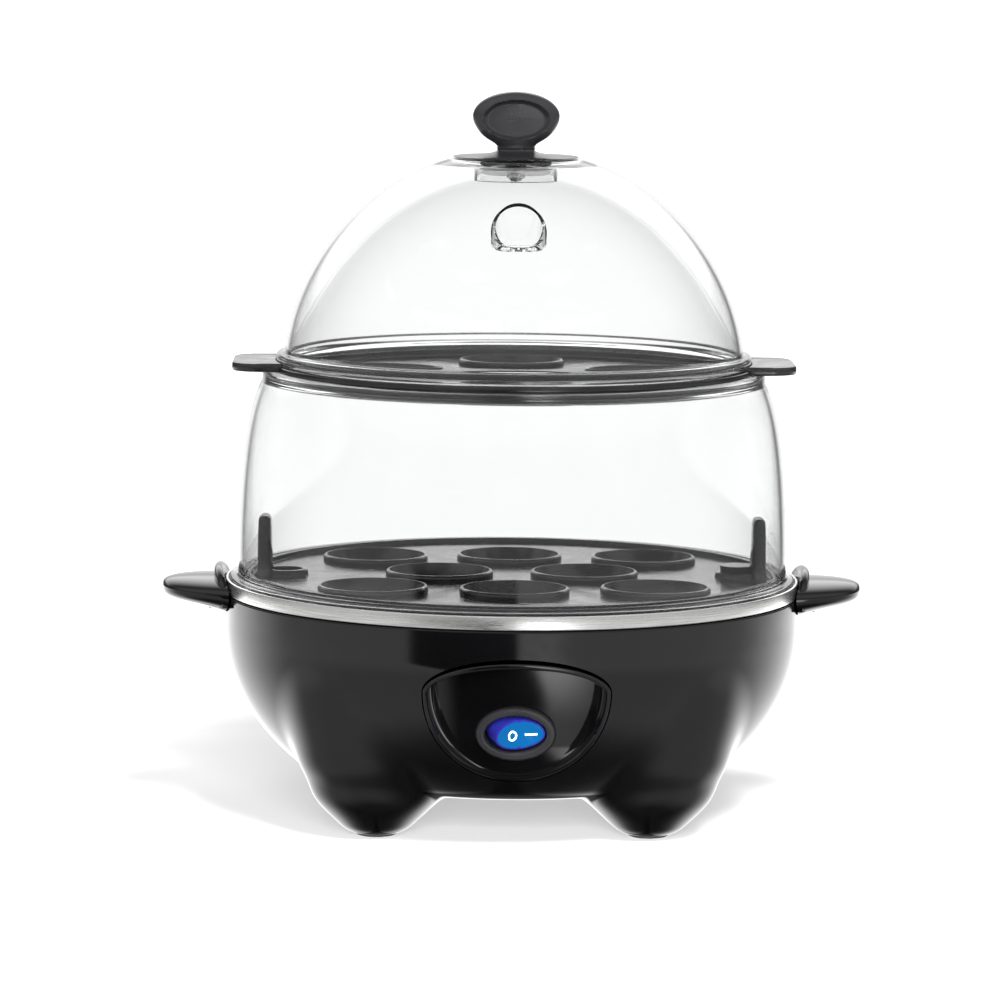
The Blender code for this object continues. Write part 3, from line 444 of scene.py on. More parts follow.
def clear_plastic(name):
    """Clear moulded plastic with hair-fine flow marks."""
    surface = Surface(name, (0.985, 0.988, 0.990), 0.02)
    surface.set("Transmission Weight", 1.0)
    surface.set("IOR", 1.47)
    surface.roughen(surface.noise(50, 4), 0.006, 0.030)
    surface.bump(surface.noise(1.0, 2, surface.turned_place(1.5, 55.0)), 0.00002, 0.15)
    surface.let_light_through((0.93, 0.935, 0.94))
    return surface.material


def brushed_steel(name):
    """Stainless steel turned on a lathe: fine streaks run round it."""
    surface = Surface(name, (0.93, 0.925, 0.915), 0.19, 1.0)
    streaks = surface.noise(1.0, 4, surface.turned_place(5.0, 2600.0), rough=0.7)
    surface.roughen(streaks, 0.17, 0.40)
    surface.tint(streaks, (0.66, 0.655, 0.645), 1.0, 0.35, 0.68)
    surface.bump(streaks, 0.00004, 0.55)
    return surface.material


def metal(name, colour, roughness, worn, grain=420.0):
    """Plated or cast metal, a little uneven in colour and shine."""
    surface = Surface(name, colour, roughness, 1.0)
    patches = surface.noise(grain, 4, rough=0.6)
    surface.roughen(patches, roughness * 0.7, min(roughness * 1.5, 1.0))
    surface.tint(surface.noise(grain * 0.4, 3), worn)
    surface.bump(patches, 0.00004, 0.4)
    return surface.material


def soft_plastic(name, colour, other, roughness, grain=900.0):
    """Rubber, silicone, nylon or cable insulation."""
    surface = Surface(name, colour, roughness)
    patches = surface.noise(grain, 4)
    surface.roughen(patches, roughness * 0.82, min(roughness * 1.15, 1.0))
    surface.tint(surface.noise(grain * 0.2, 3), other)
    surface.bump(patches, 0.00004, 0.5)
    return surface.material


def woven_sleeve(name):
    """White glass-fibre sleeve with a fine braid."""
    surface = Surface(name, (0.72, 0.71, 0.67), 0.8)
    braid = surface.noise(2400, 1)
    surface.roughen(braid, 0.7, 0.9)
    surface.tint(braid, (0.48, 0.47, 0.43))
    surface.bump(braid, 0.00010, 0.8)
    return surface.material


def lit_blue(name, colour, other, glow, strength):
    """Blue translucent plastic with a lamp behind it."""
    surface = Surface(name, colour, 0.16)
    surface.set("Specular IOR Level", 0.08)
    surface.set("Emission Color", (*glow, 1.0))
    patches = surface.noise(260, 3)
    surface.drive("Emission Strength", surface.spread(patches, strength * 0.9, strength * 1.1))
    surface.tint(patches, other, 0.6)
    surface.roughen(surface.noise(500, 3), 0.10, 0.24)
    return surface.material


def mark_white(name):
    """White print on the lit rocker."""
    surface = Surface(name, (0.86, 0.88, 0.90), 0.4)
    surface.set("Emission Strength", 0.25)
    surface.set("Emission Color", (0.8, 0.92, 1.0, 1.0))
    patches = surface.noise(1800, 2)
    surface.roughen(patches, 0.32, 0.5)
    surface.tint(patches, (0.70, 0.76, 0.82), 0.4)
    return surface.material


# ---- base housing

def bowl_radius(height, inset=0.0):
    """Radius of the bowl's wall at a height, or of a surface set in from it."""
    if height >= BOWL_WAIST_Z:
        return BOWL_R - inset
    drop = (BOWL_WAIST_Z - height) / (BOWL_DEPTH - inset)
    return (BOWL_R - inset) * math.sqrt(max(1 - drop ** 2, 0.0))


def smooth_between(x, knots, values):
    """A smooth curve through values at rising knots (cubic Hermite), held flat at its ends."""
    knots = np.asarray(knots, float)
    values = np.asarray(values, float)
    slopes = np.gradient(values, knots)
    x = np.clip(x, knots[0], knots[-1])
    index = np.clip(np.searchsorted(knots, x) - 1, 0, len(knots) - 2)
    width = knots[index + 1] - knots[index]
    t = (x - knots[index]) / width
    start = (2 * t ** 3 - 3 * t ** 2 + 1) * values[index] + (t ** 3 - 2 * t ** 2 + t) * width * slopes[index]
    end = (3 * t ** 2 - 2 * t ** 3) * values[index + 1] + (t ** 3 - t ** 2) * width * slopes[index + 1]
    return start + end


def soft_min(a, b, width):
    """The lower of two distances, with a fillet where they cross."""
    overlap = np.maximum(width - np.abs(a - b), 0.0) / width
    return np.minimum(a, b) - overlap ** 2 * width / 4


def soft_max(a, b, width):
    return -soft_min(-a, -b, width)


def housing_distance(points):
    """Rough signed distance from the base's outer surface: the bowl and its four legs."""
    x, y, z = points[..., 0], points[..., 1], points[..., 2]
    radius = np.hypot(x, y)
    drop = np.maximum(BOWL_WAIST_Z - z, 0.0)
    scaled = np.sqrt((radius / BOWL_R) ** 2 + (drop / BOWL_DEPTH) ** 2)
    steepness = np.sqrt((radius / BOWL_R ** 2) ** 2 + (drop / BOWL_DEPTH ** 2) ** 2) + 1e-9
    bowl = scaled * (scaled - 1) / steepness
    bowl = soft_max(bowl, BOWL_FLOOR_Z - z, 5.0)
    heights, offsets, sizes = zip(*LEG_SECTIONS)
    offset = smooth_between(z, heights, offsets)
    size = smooth_between(z, heights, sizes)
    leg = np.hypot(np.abs(x) - offset, np.abs(y) - offset) - size
    leg = soft_max(leg * 0.9, LEG_FOOT_Z - z, 3.0)
    return soft_min(bowl, leg, LEG_BLEND)


def housing_outside(eye_z=150.0, rows=190, count=480):
    """Rings of points down the outside of the base, found along rays from a point above it."""
    first = math.atan2(SERVICE_OPENING_R, eye_z - BOWL_FLOOR_Z)
    last = math.atan2(BOWL_R, eye_z - (BOWL_TOP_Z - 0.9))
    slopes = np.linspace(first, last, rows)[:, None]
    around = angles_round(count)[None, :]
    ray = np.stack([
        np.sin(slopes) * np.cos(around), np.sin(slopes) * np.sin(around), -np.cos(slopes) + 0 * around
    ], axis=-1)
    eye = np.array([0.0, 0.0, eye_z])
    reach = np.full(ray.shape[:2], 175.0)
    inside = np.zeros(ray.shape[:2], bool)
    stride = 0.6
    for _ in range(240):
        near = housing_distance(eye + ray * reach[..., None]) <= 0
        inside |= near
        if inside.all():
            break
        reach = np.where(inside, reach, reach - stride)
    low = reach
    high = reach + stride
    for _ in range(16):
        middle = (low + high) / 2
        near = housing_distance(eye + ray * middle[..., None]) <= 0
        low = np.where(near, middle, low)
        high = np.where(near, high, middle)
    return list(eye + ray * ((low + high) / 2)[..., None])


def shield(margin=0.0, count=64):
    """Outline of the switch panel as (x, z) points, grown by a margin, starting at +X and going up."""
    angles = angles_round(count)
    rise = np.where(np.sin(angles) >= 0, SHIELD_TOP_RISE + margin, SHIELD_BOTTOM_DROP + margin)
    return np.stack([
        (SHIELD_HALF_WIDTH + margin) * np.cos(angles), SHIELD_MIDDLE_Z + rise * np.sin(angles)
    ], axis=-1)


def gland_axis():
    """The cord gland's centre on the bowl and its outward direction, at the rear."""
    low, high = low_corner("cord_gland"), high_corner("cord_gland")
    height = 40.0
    radius = bowl_radius(height)
    slope = (BOWL_WAIST_Z - height) / BOWL_DEPTH ** 2 / (radius / BOWL_R ** 2)
    return Vector(((low.x + high.x) / 2, radius, height)), Vector((0.0, 1.0, -slope)).normalized()


def make_base_housing():
    count = 480
    rings = housing_outside(count=count)
    rim = [
        (BOWL_R, BOWL_TOP_Z - 0.55, 0), (BOWL_R, BOWL_TOP_Z, 0.5), (97.5, BOWL_TOP_Z, 0.1),
        (97.5, SPIGOT_TOP_Z, 0.3), (95.0, SPIGOT_TOP_Z, 0.3), (95.0, BOWL_TOP_Z - 0.4, 0.1),
        (BOWL_R - BOWL_WALL, BOWL_TOP_Z - 1.2, 0),
    ]
    rings += [circle(radius, height, count) for radius, height in softened(rim, steps=3)]
    floor = BOWL_FLOOR_Z + BOWL_WALL
    for step in range(17):
        height = BOWL_WAIST_Z + (floor - BOWL_WAIST_Z) * step / 16
        rings.append(circle(bowl_radius(height, BOWL_WALL), height, count))
    rings.append(circle(SERVICE_OPENING_R, floor, count))
    housing = skin("housing_shell", rings, loop=True)
    tools = [shield_cutter()]
    centre, outward = gland_axis()
    tools.append(rod("gland_cut", 5.9, centre - outward * 12, centre + outward * 8, 48))
    tools += [rod("foot_cut", 7.3, (x, y, -2), (x, y, 3.3), 48) for x, y in FEET]
    tools += cover_screw_cuts(12, 20)
    boolean(housing, "DIFFERENCE", joined("housing_cuts", tools))
    show(housing, "base", gloss_black("housing_black"), "base_housing", slot="gloss_black")


def cover_screw_cuts(low, high):
    """Three rods where the bottom cover's screws go through."""
    cuts = []
    for degrees in (30, 150, 270):
        x = COVER_SCREW_R * math.cos(math.radians(degrees))
        y = COVER_SCREW_R * math.sin(math.radians(degrees))
        cuts.append(rod("screw_cut", 1.9, (x, y, low), (x, y, high), 24))
    return cuts


def shield_cutter():
    outline = shield(0.3, 128)
    return skin("panel_cut", [[(x, y, z) for x, z in outline] for y in (-112.0, -66.0)])


# ---- switch

def face_y(height):
    """Y of the switch panel's face at a height."""
    return FACE_BOTTOM_Y - (height - SHIELD_MIDDLE_Z + SHIELD_BOTTOM_DROP) * math.tan(math.radians(FACE_TILT))


SWITCH_FRAME = (
    Matrix.Translation(Vector((0.0, face_y(SWITCH_Z), SWITCH_Z)) * MM)
    @ Matrix.Rotation(math.radians(90 + FACE_TILT), 4, "X")
)


def skin_y(x, z):
    """Y of the bowl's front surface at (x, z)."""
    radius = bowl_radius(z)
    return -math.sqrt(max(radius ** 2 - x ** 2, 0.0))


def panel_y(x, z):
    """Y of the panel's finished face: it falls away from the switch to both sides and upwards."""
    fall = x ** 2 / 320 + max(z - SWITCH_Z - 4.0, 0.0) ** 2 / 400
    return face_y(z) + fall * min(max((z - 22.0) / 14.0, 0.15), 1.0)


def make_switch_panel():
    """A recessed tray: its rim follows the bowl, and its gently domed face carries the switch."""
    count = 192
    outline = {margin: shield(margin, count) for margin in (0.0, -0.3, -0.8, -1.3, -1.7, -1.9, -2.6, -3.8)}
    angles = angles_round(count)
    slot = 1.2 * np.clip(np.sin(angles), 0.0, 1.0) ** 0.5
    for points in outline.values():
        points[:, 1] -= slot

    def down_wall(margin, share, lift=0.0):
        ring = []
        for x, z in outline[margin]:
            top = skin_y(x, z) - lift
            foot = panel_y(x, z)
            ring.append((x, min(top + (foot - top) * share, foot - 0.02), z))
        return ring

    def face_ring(points, back=0.0):
        return [(x, panel_y(x, z) + back, z) for x, z in points]

    rings = [face_ring(outline[0.0], 2.0), down_wall(0.0, 0.0, -1.0), down_wall(0.0, 0.0, -0.25)]
    rings += [down_wall(-0.3, 0.0, 0.02), down_wall(-0.8, 0.0, 0.04), down_wall(-1.3, 0.0, -0.10)]
    rings += [down_wall(-1.7, share) for share in (0.08, 0.3, 0.6, 0.85)]
    rings += [down_wall(-1.9, 0.96), face_ring(outline[-2.6]), face_ring(outline[-3.8])]
    hole = np.stack([
        SWITCH_HOLE_RADII[0] * np.cos(angles),
        SWITCH_Z + SWITCH_HOLE_RADII[1] * math.cos(math.radians(FACE_TILT)) * np.sin(angles),
    ], axis=-1)
    for share in (0.12, 0.25, 0.38, 0.5, 0.62, 0.75, 0.88, 1.0):
        rings.append(face_ring(outline[-3.8] * (1 - share) + hole * share))
    rings.append(face_ring(hole, 2.0))
    rings.append(face_ring(outline[-1.9], 2.0))
    panel = skin("switch_surround", rings, loop=True)
    show(panel, "base", gloss_black("surround_black"), "switch_panel", slot="gloss_black", degrees=40)


def make_switch():
    bezel = oval_lathe("switch_bezel", [
        (0, 0, -9.0, 0), (10.2, 6.2, -9.0, 0.3), (10.2, 6.2, 1.4, 0.4), (10.9, 6.9, 2.0, 0.4),
        (12.7, 8.8, 1.95, 0.5), (13.4, 9.5, 1.1, 0.5), (13.4, 9.5, 0.25, 0.1), (11.2, 7.2, 0.25, 0.1),
        (11.2, 7.2, -13.5, 0.5), (0, 0, -13.5, 0),
    ])
    placed(bezel, SWITCH_FRAME)
    show(bezel, "base", satin_black("bezel_black", 1500), "switch_frame", slot="satin_black", degrees=40)
    tilted = (
        SWITCH_FRAME
        @ Matrix.Translation((0, 0, -ROCKER_PIVOT_DEPTH * MM))
        @ Matrix.Rotation(math.radians(ROCKER_TILT), 4, "Y")
    )
    rocker = rocker_mesh()
    placed(rocker, tilted)
    navy = lit_blue("rocker_navy", (0.012, 0.006, 0.10), (0.004, 0.020, 0.16), (0.03, 0.03, 0.35), 0.10)
    show(rocker, "rocker", navy, "switch_rocker", slot="lit_blue", degrees=40)
    cap = rocker_cap()
    placed(cap, tilted)
    blue = lit_blue("rocker_blue", (0.0005, 0.038, 0.110), (0.0005, 0.031, 0.100), (0.0, 0.20, 0.56), 0.20)
    show(cap, "rocker", blue, degrees=40)
    for name, mark in (("mark_off", off_mark()), ("mark_on", on_mark())):
        mark.name = name
        placed(mark, tilted)
        show(mark, "rocker", mark_white(name + "_white"))


def rocker_face(x, y):
    """Height of the rocker's dished face above its pivot."""
    return ROCKER_FACE + 0.0235 * x * x + 0.004 * y * y


def on_face(half_x, half_y, count, lift=0.0):
    """An oval outline laid on the rocker's face."""
    ring = oval_ring(half_x, half_y, 0.0, count)
    ring[:, 2] = rocker_face(ring[:, 0], ring[:, 1]) + lift
    return ring


def rocker_mesh(count=96):
    """An oval key: tapered sides, a soft edge and a face dished along its length."""
    rings = [[(0, 0, -4.2)]]
    side = [(8.3, 5.3, -4.2), (8.9, 5.7, -3.4), (8.95, 5.55, -1.0), (8.9, 5.4, 1.5), (8.75, 5.25, 3.0)]
    for radius_x, radius_y, height in side:
        ring = oval_ring(radius_x, radius_y, height, count)
        if height > 0:
            top = rocker_face(ring[:, 0], ring[:, 1])
            ring[:, 2] = height / ROCKER_FACE * (top - 0.5)
        rings.append(ring)
    for radius_x, radius_y, drop in ((8.65, 5.15, 0.28), (8.5, 5.0, 0.08), (*ROCKER_RADII, 0.03)):
        rings.append(on_face(radius_x, radius_y, count, -drop))
    for share in (0.85, 0.65, 0.45, 0.25, 0.1):
        rings.append(on_face(ROCKER_RADII[0] * share, ROCKER_RADII[1] * share, count))
    rings.append([(0, 0, ROCKER_FACE)])
    return skin("rocker_key", rings)


def rocker_cap(count=120):
    """The bright inlay on the rocker's face, with a small notch in the middle of each long side."""
    angles = angles_round(count)
    notch = 1 - 0.11 * np.exp(-((np.abs(np.abs(angles - math.pi) - math.pi / 2)) / 0.055) ** 2)
    rings = [[(0, 0, ROCKER_FACE - 0.12)]]
    edge = ((0.97, -0.12), (1.0, 0.0), (0.985, 0.05), (0.93, 0.06))
    for share, lift in edge + tuple((share, 0.06) for share in (0.8, 0.6, 0.4, 0.2)):
        x = CAP_RADII[0] * share * np.cos(angles) * (notch if share > 0.9 else 1)
        y = CAP_RADII[1] * share * np.sin(angles) * (notch if share > 0.9 else 1)
        rings.append(np.stack([x, y, rocker_face(x, y) + lift], axis=-1))
    rings.append([(0, 0, ROCKER_FACE + 0.06)])
    return skin("rocker_cap", rings)


def off_mark(centre=-2.5, radii=(1.35, 1.5), thickness=0.26, proud=0.5, count=48):
    """A raised ring on the rocker's face."""
    rings = []
    angles = angles_round(count)
    for in_or_out, lift in ((1, -0.2), (1, proud), (-1, proud), (-1, -0.2)):
        x = centre + (radii[0] + in_or_out * thickness) * np.cos(angles)
        y = (radii[1] + in_or_out * thickness) * np.sin(angles)
        rings.append(np.stack([x, y, rocker_face(x, y) + lift], axis=-1))
    return skin("mark_off", rings, loop=True)


def on_mark(start=1.9, end=5.9, half_width=0.27, proud=0.5, steps=8):
    """A raised bar on the rocker's face."""
    rings = []
    for step in range(steps + 1):
        x = start + (end - start) * step / steps
        face = rocker_face(x, 0.0)
        rings.append([
            (x, -half_width, face - 0.2), (x, half_width, face - 0.2),
            (x, half_width, face + proud), (x, -half_width, face + proud),
        ])
    return skin("mark_on", rings)


# ---- side handles

def make_side_handle(name):
    """A tapered grip with a crease round its edge, and an upright rib beside the steel band."""
    wall = BOWL_R + 0.5
    reach = high_corner("side_handle_right").x - wall
    stations = 28
    across = 28
    rings = []
    for station in range(stations):
        turn = math.pi / 2 * station / stations
        out = math.sin(turn)
        width = GRIP_HALF_WIDTH * math.cos(turn)
        crease = 78.0 + 0.8 * out
        rise = 4.2 * math.cos(turn) ** 0.6 + 0.3 * (1 - out)
        drop = 5.6 * math.cos(turn) ** 0.5 + 2.6 * (1 - out) ** 3
        ring = []
        for step in range(2 * across):
            angle = math.pi * step / across
            if step < across:
                z = crease + rise * math.sin(angle) ** 1.1
            else:
                z = crease - drop * abs(math.sin(angle)) ** 0.75
            y = width * math.cos(angle)
            sag = (wall - math.sqrt(wall ** 2 - y ** 2)) * (1 - out)
            ring.append((wall + reach * out - sag, y, z))
        rings.append(ring)
    rings.append([(wall + reach, 0.0, 78.8)])
    grip = skin(f"side_grip_{name}", rings)
    boolean(grip, "UNION", handle_rib())
    if name == "left":
        placed(grip, Matrix.Rotation(math.pi, 4, "Z"))
    black = gloss_black(f"grip_{name}_black")
    show(grip, "base", black, f"side_handle_{name}", slot="gloss_black", degrees=28)


def handle_rib(half_angle=11.9, inner=99.5, thickness=3.3, bottom=73.0, steps=24):
    """The upright rib: a bent bar with a round top, lower and thinner towards its ends."""
    rings = []
    for step in range(steps + 1):
        share = 2 * step / steps - 1
        angle = math.radians(half_angle) * share
        fall = max(1 - abs(share) ** 2.5, 0.0) ** 0.5
        top = 77.0 + 9.1 * fall
        half = thickness * (0.55 + 0.45 * fall) / 2
        ring = arc(inner + half, top - half, half, 0, 180, 12)
        ring += [(inner, bottom), (inner + 2 * half, bottom)]
        rings.append([(radius * math.cos(angle), radius * math.sin(angle), z) for radius, z in ring])
    return skin("rib", rings)


# ---- heating dish and small base pieces

def make_heating_dish():
    edge = DISH_TOP_Z - 1.7
    dish = lathe("steel_dish", [
        (0, 60, 0), (20, 60, 0), (76, 60, 5), (84, 66.5, 6), (88.8, 79.0, 1.5), (89.9, edge, 0.5),
        (97.7, edge, 0.4), (97.75, DISH_TOP_Z, 0.45), (DISH_R, DISH_TOP_Z, 0.45),
        (DISH_R, DISH_SKIRT_Z + 0.1, 0.35), (98.1, DISH_SKIRT_Z, 0.2), (97.9, DISH_SKIRT_Z, 0.1),
        (97.9, edge - 1, 0.5), (90.4, edge - 1, 0.5), (83.3, 66.3, 6), (75.6, 59, 5), (20, 59, 0), (0, 59, 0),
    ], count=240)
    show(dish, "base", brushed_steel("dish_steel"), "heating_dish", slot="brushed_steel")
    gasket = lathe("gasket_ring", [
        (95.4, 79.0, 0.2), (97.1, 79.0, 0.2), (97.1, 78.5, 0.2), (95.4, 78.5, 0.2)
    ], closed=True, count=160)
    silicone = soft_plastic("gasket_silicone", (0.62, 0.61, 0.58), (0.50, 0.49, 0.46), 0.55)
    show(gasket, "base", silicone, "rim_gasket", slot="white_silicone")


def make_feet():
    for x, y in FEET:
        node = f"foot_pad_{'front' if y < 0 else 'rear'}_{'left' if x < 0 else 'right'}"
        foot = lathe(node + "_rubber", [
            (0, 3.0, 0), (7.0, 3.0, 0.3), (7.0, 0.6, 0.4), (6.3, 0, 0.5), (4.4, 0, 0.2), (4.2, 0.5, 0.2),
            (3.0, 0.5, 0.2), (2.8, 0, 0.2), (0, 0, 0),
        ], count=64, centre=(x, y))
        rubber = soft_plastic(node + "_black", (0.028, 0.028, 0.028), (0.045, 0.044, 0.042), 0.72)
        show(foot, "base", rubber, node, slot="grey_rubber")


def make_cord_gland():
    gland = lathe("gland_bush", [
        (3.8, 1.9, 0.3), (5.2, 1.9, 0.3), (7.4, 1.3, 0.5), (7.4, 0.4, 0.2), (5.6, 0.4, 0.1),
        (5.6, -13.6, 0.4), (4.9, -14, 0.3), (3.8, -14, 0.3),
    ], closed=True, count=64)
    centre, outward = gland_axis()
    turn = Vector((0, 0, 1)).rotation_difference(outward).to_matrix().to_4x4()
    placed(gland, Matrix.Translation(centre * MM) @ turn)
    rubber = soft_plastic("gland_rubber", (0.020, 0.020, 0.021), (0.034, 0.033, 0.032), 0.62)
    show(gland, "base", rubber, "cord_gland", slot="grey_rubber")


def make_bottom_cover():
    cover = lathe("service_cover", [
        (0, 14.7, 0), (41.4, 14.7, 0.2), (42.0, 14.3, 0.3), (42.0, 13.1, 0.5), (41.2, 12.5, 0.5),
        (38.9, 12.5, 0.2), (38.6, 12.8, 0.2), (34.6, 12.8, 0.2), (34.3, 12.5, 0.2), (0, 12.5, 0),
    ], count=128)
    slot = arc(27, 0, 1.5, -90, 90, 8) + arc(9, 0, 1.5, 90, 270, 8)
    tools = []
    for degrees in range(0, 360, 60):
        cutter = skin("vent_cut", [[(x, y, z) for x, y in slot] for z in (10.0, 17.0)])
        tools.append(placed(cutter, Matrix.Rotation(math.radians(degrees), 4, "Z")))
    tools += cover_screw_cuts(10, 17)
    boolean(cover, "DIFFERENCE", joined("cover_cuts", tools))
    show(cover, "base", satin_black("cover_black", 1200), "bottom_cover", slot="satin_black")


# ---- trays

def cut_cups(tray, places, plate):
    """Give a tray its egg cups: a collar round each, and a tapered hole that the egg stands in."""
    top = plate + 3.8
    low = plate - 1.4
    collar = [
        (0, top, 0), (17.2, top, 0.2), (18.0, top, 0.5), (18.6, plate + 3.0, 0.6), (18.6, plate + 1.6, 0.3),
        (18.6, plate - 1.0, 0.4), (18.0, low, 0.4), (0, low, 0),
    ]
    hole = [
        (0, plate + 6.0, 0), (18.2, plate + 6.0, 0), (17.3, plate + 3.5, 0.6), (15.3, plate - 0.8, 0.6),
        (15.6, plate - 3.0, 0), (0, plate - 3.0, 0),
    ]
    for operation, name, profile in (("UNION", "collar", collar), ("DIFFERENCE", "hole", hole)):
        cups = [lathe(name, profile, count=72, centre=place) for place in places]
        boolean(tray, operation, joined(name + "s", cups))


def lift_post(side):
    """A tapered post with a rounded top and a foot that flares into the tray."""
    rings = []
    stations = [
        (81.4, 6.4, 8.6, -0.6), (81.9, 5.0, 7.4, -0.2), (82.6, 3.7, 6.7, 0.1), (83.6, 2.95, 6.2, 0.25),
        (86.0, 2.7, 6.0, 0.3), (92.0, 2.55, 5.8, 0.35), (98.0, 2.4, 5.6, 0.4), (101.4, 2.25, 5.4, 0.4),
        (POST_TOP_Z - 0.8, 2.0, 5.1, 0.4), (POST_TOP_Z - 0.25, 1.6, 4.7, 0.4), (POST_TOP_Z, 1.0, 4.1, 0.4),
    ]
    for height, half_x, half_y, shift in stations:
        ring = oval_ring(half_x * 0.98, half_y, height, 40, 2 / 0.6)
        ring[:, 0] = side * (POST_X + shift + ring[:, 0])
        rings.append(ring)
    return skin("post", rings)


def make_lower_tray():
    plate = LOWER_PLATE_Z
    edge = LOWER_TRAY_R
    top = plate + PLATE_THICKNESS
    tray = lathe("lower_tray_plate", [
        (0, top, 0), (20, top, 0), (edge - 1.6, top, 0.6), (edge - 1.5, plate + 3.4, 0.5),
        (edge, plate + 3.4, 0.5), (edge, plate, 0.4), (20, plate, 0), (0, plate, 0),
    ], count=240)
    for side in (-1, 1):
        loop = lathe(f"loop_{side}", [
            (0, plate + 3.8, 0), (7.0, plate + 3.8, 0.3), (7.5, plate + 3.4, 0.4), (7.7, plate + 1.7, 0.5),
            (8.6, plate + 0.8, 0), (0, plate + 0.8, 0),
        ], count=64, centre=(side * LOOP_X, 0))
        boolean(tray, "UNION", loop, lift_post(side))
    cut_cups(tray, LOWER_CUPS, plate)
    hole = [
        (0, plate + 6, 0), (6.1, plate + 6, 0), (5.6, plate + 3.2, 0.4), (5.5, plate - 2, 0),
        (0, plate - 2, 0),
    ]
    holes = [lathe("loop_hole", hole, count=64, centre=(side * LOOP_X, 0)) for side in (-1, 1)]
    boolean(tray, "DIFFERENCE", joined("loop_holes", holes))
    show(tray, "lower_tray", tray_black("lower_tray_black"), "lower_egg_tray", slot="tray_black")


def tab(side, corner=9.0, half=20.0):
    """A grip tab: rounded outer corners, softened edges and a shallow thumb dip on top."""
    outline = arc(TAB_R - corner, half - corner, corner, 90, 0)
    outline += arc(TAB_R - corner, corner - half, corner, 0, -90)
    outline += arc(0, 0, 82.0, -14, 14)
    middle = Vector((87.5, 0.0))
    rings = []
    sections = ((0.8, 154.0), (0.25, 154.12), (0.0, 154.6), (0.0, 156.3), (0.3, 156.85), (0.9, 157.0))
    for shrink, height in sections:
        ring = []
        for x, y in outline:
            inward = (middle - Vector((x, y))).normalized() * (shrink if x > 83 else 0.0)
            ring.append((side * (x + inward.x), side * (y + inward.y), height))
        rings.append(ring)
    rings.append([
        (side * (middle.x + (side * x - middle.x) * 0.82), y * 0.82, 156.75) for x, y, _ in rings[-1]
    ])
    return skin("tab", rings)


def make_upper_tray():
    plate = UPPER_PLATE_Z
    top = plate + PLATE_THICKNESS
    tray = lathe("upper_tray_plate", [
        (0, top, 0), (20, top, 0), (77.6, top, 1.0), (77.6, 155.7, 0.5), (82.8, 155.7, 0.5),
        (82.8, 153.7, 0.4), (79.3, 153.7, 0.3), (79.3, plate, 0.8), (20, plate, 0), (0, plate, 0),
    ], count=240)
    boolean(tray, "UNION", tab(-1), tab(1))
    cut_cups(tray, UPPER_CUPS, plate)
    show(tray, "upper_tray", tray_black("upper_tray_black"), "upper_egg_tray", slot="tray_black")


# ---- clear pieces

def chamber_radius(height):
    rise = (height - 84.0) / 65.0
    return 94.6 - 4.4 * rise ** 2 - 3.0 * rise ** 6


def make_steam_chamber():
    heights = [149 + (84 - 149) * index / 36 for index in range(37)]
    outer = [(chamber_radius(height), height, 0) for height in heights]
    inner = [(radius - CLEAR_WALL, height, 0) for radius, height, _ in reversed(outer)]
    top = CHAMBER_TOP_Z
    corners = [(79.8, top, 0.5), (86.4, top, 0.9), (86.5, 150.2, 0.6)]
    corners += outer
    corners += [
        (94.9, 82.8, 0.6), (CHAMBER_FLANGE_R, 82.8, 0.7), (CHAMBER_FLANGE_R, CHAMBER_FOOT_Z, 0.5),
        (92.2, CHAMBER_FOOT_Z, 0.4), (92.3, 83.2, 0.3),
    ]
    corners += inner + [(84.6, 150.3, 0.8), (79.8, 150.9, 0.5)]
    chamber = lathe("clear_chamber", corners, closed=True, count=240)
    clear = clear_plastic("chamber_clear")
    show(chamber, "chamber", clear, "steam_chamber", slot="clear_plastic", degrees=45)


def dome_arc(radius, high, low, steps):
    start = math.asin((high - DOME_CENTRE_Z) / radius)
    end = math.asin((low - DOME_CENTRE_Z) / radius)
    angles = [start + (end - start) * index / steps for index in range(steps + 1)]
    return [(radius * math.cos(angle), DOME_CENTRE_Z + radius * math.sin(angle), 0) for angle in angles]


def make_lid_dome():
    ceiling = 223.4
    outer = [(2.4, LID_TOP_Z, 0.2), (22.3, LID_TOP_Z, 0.8)] + dome_arc(DOME_R, LID_TOP_Z - 1.0, 161.4, 44)
    outer += [
        (79.05, 159.6, 0.8), (LID_FLANGE_R, 159.6, 0.8), (LID_FLANGE_R, 156.0, 0.5), (77.2, 156.0, 0.3),
        (77.2, LID_LIP_Z, 0.4),
    ]
    inner = [(75.8, LID_LIP_Z, 0.4), (75.8, 157.0, 0.6)]
    inner += list(reversed(dome_arc(DOME_R - CLEAR_WALL, ceiling - 0.3, 158.4, 44)))
    inner += [
        (21.5, ceiling + 1.1, 0.8), (14.2, ceiling + 1.1, 0.4), (14.2, 218.4, 0.4), (12.8, 218.4, 0.4),
        (12.8, ceiling, 0.4), (2.4, ceiling, 0.2),
    ]
    dome = lathe("clear_dome", outer + inner, closed=True, count=240, steps=3)
    cup = lathe("vent_cup", [
        (0, 215, 0), (9.2, 215, 0), (9.2, 199.6, 1.6), (7.6, 198.2, 0.6), (0, 198.2, 0)
    ], count=72, centre=(0, VENT_Y))
    outside = skin("dome_outside", [[(0, 0, 240)]] + [
        circle(radius, height, 240) for radius, height, _ in dome_arc(DOME_R - 0.05, 226, 170, 40)
    ])
    boolean(cup, "INTERSECT", outside)
    boolean(dome, "UNION", cup)
    pocket = lathe("vent_pocket", [
        (0, 226, 0), (7.8, 226, 0), (7.8, 201.0, 1.2), (6.4, 199.7, 0.4), (0, 199.7, 0)
    ], count=72, centre=(0, VENT_Y))
    steam_hole = rod("steam_hole", 3.2, (0, VENT_Y, 190), (0, VENT_Y, 205), 48)
    boolean(dome, "DIFFERENCE", pocket, steam_hole)
    show(dome, "lid", clear_plastic("dome_clear"), "lid_dome", "vent_cup", slot="clear_plastic", degrees=45)


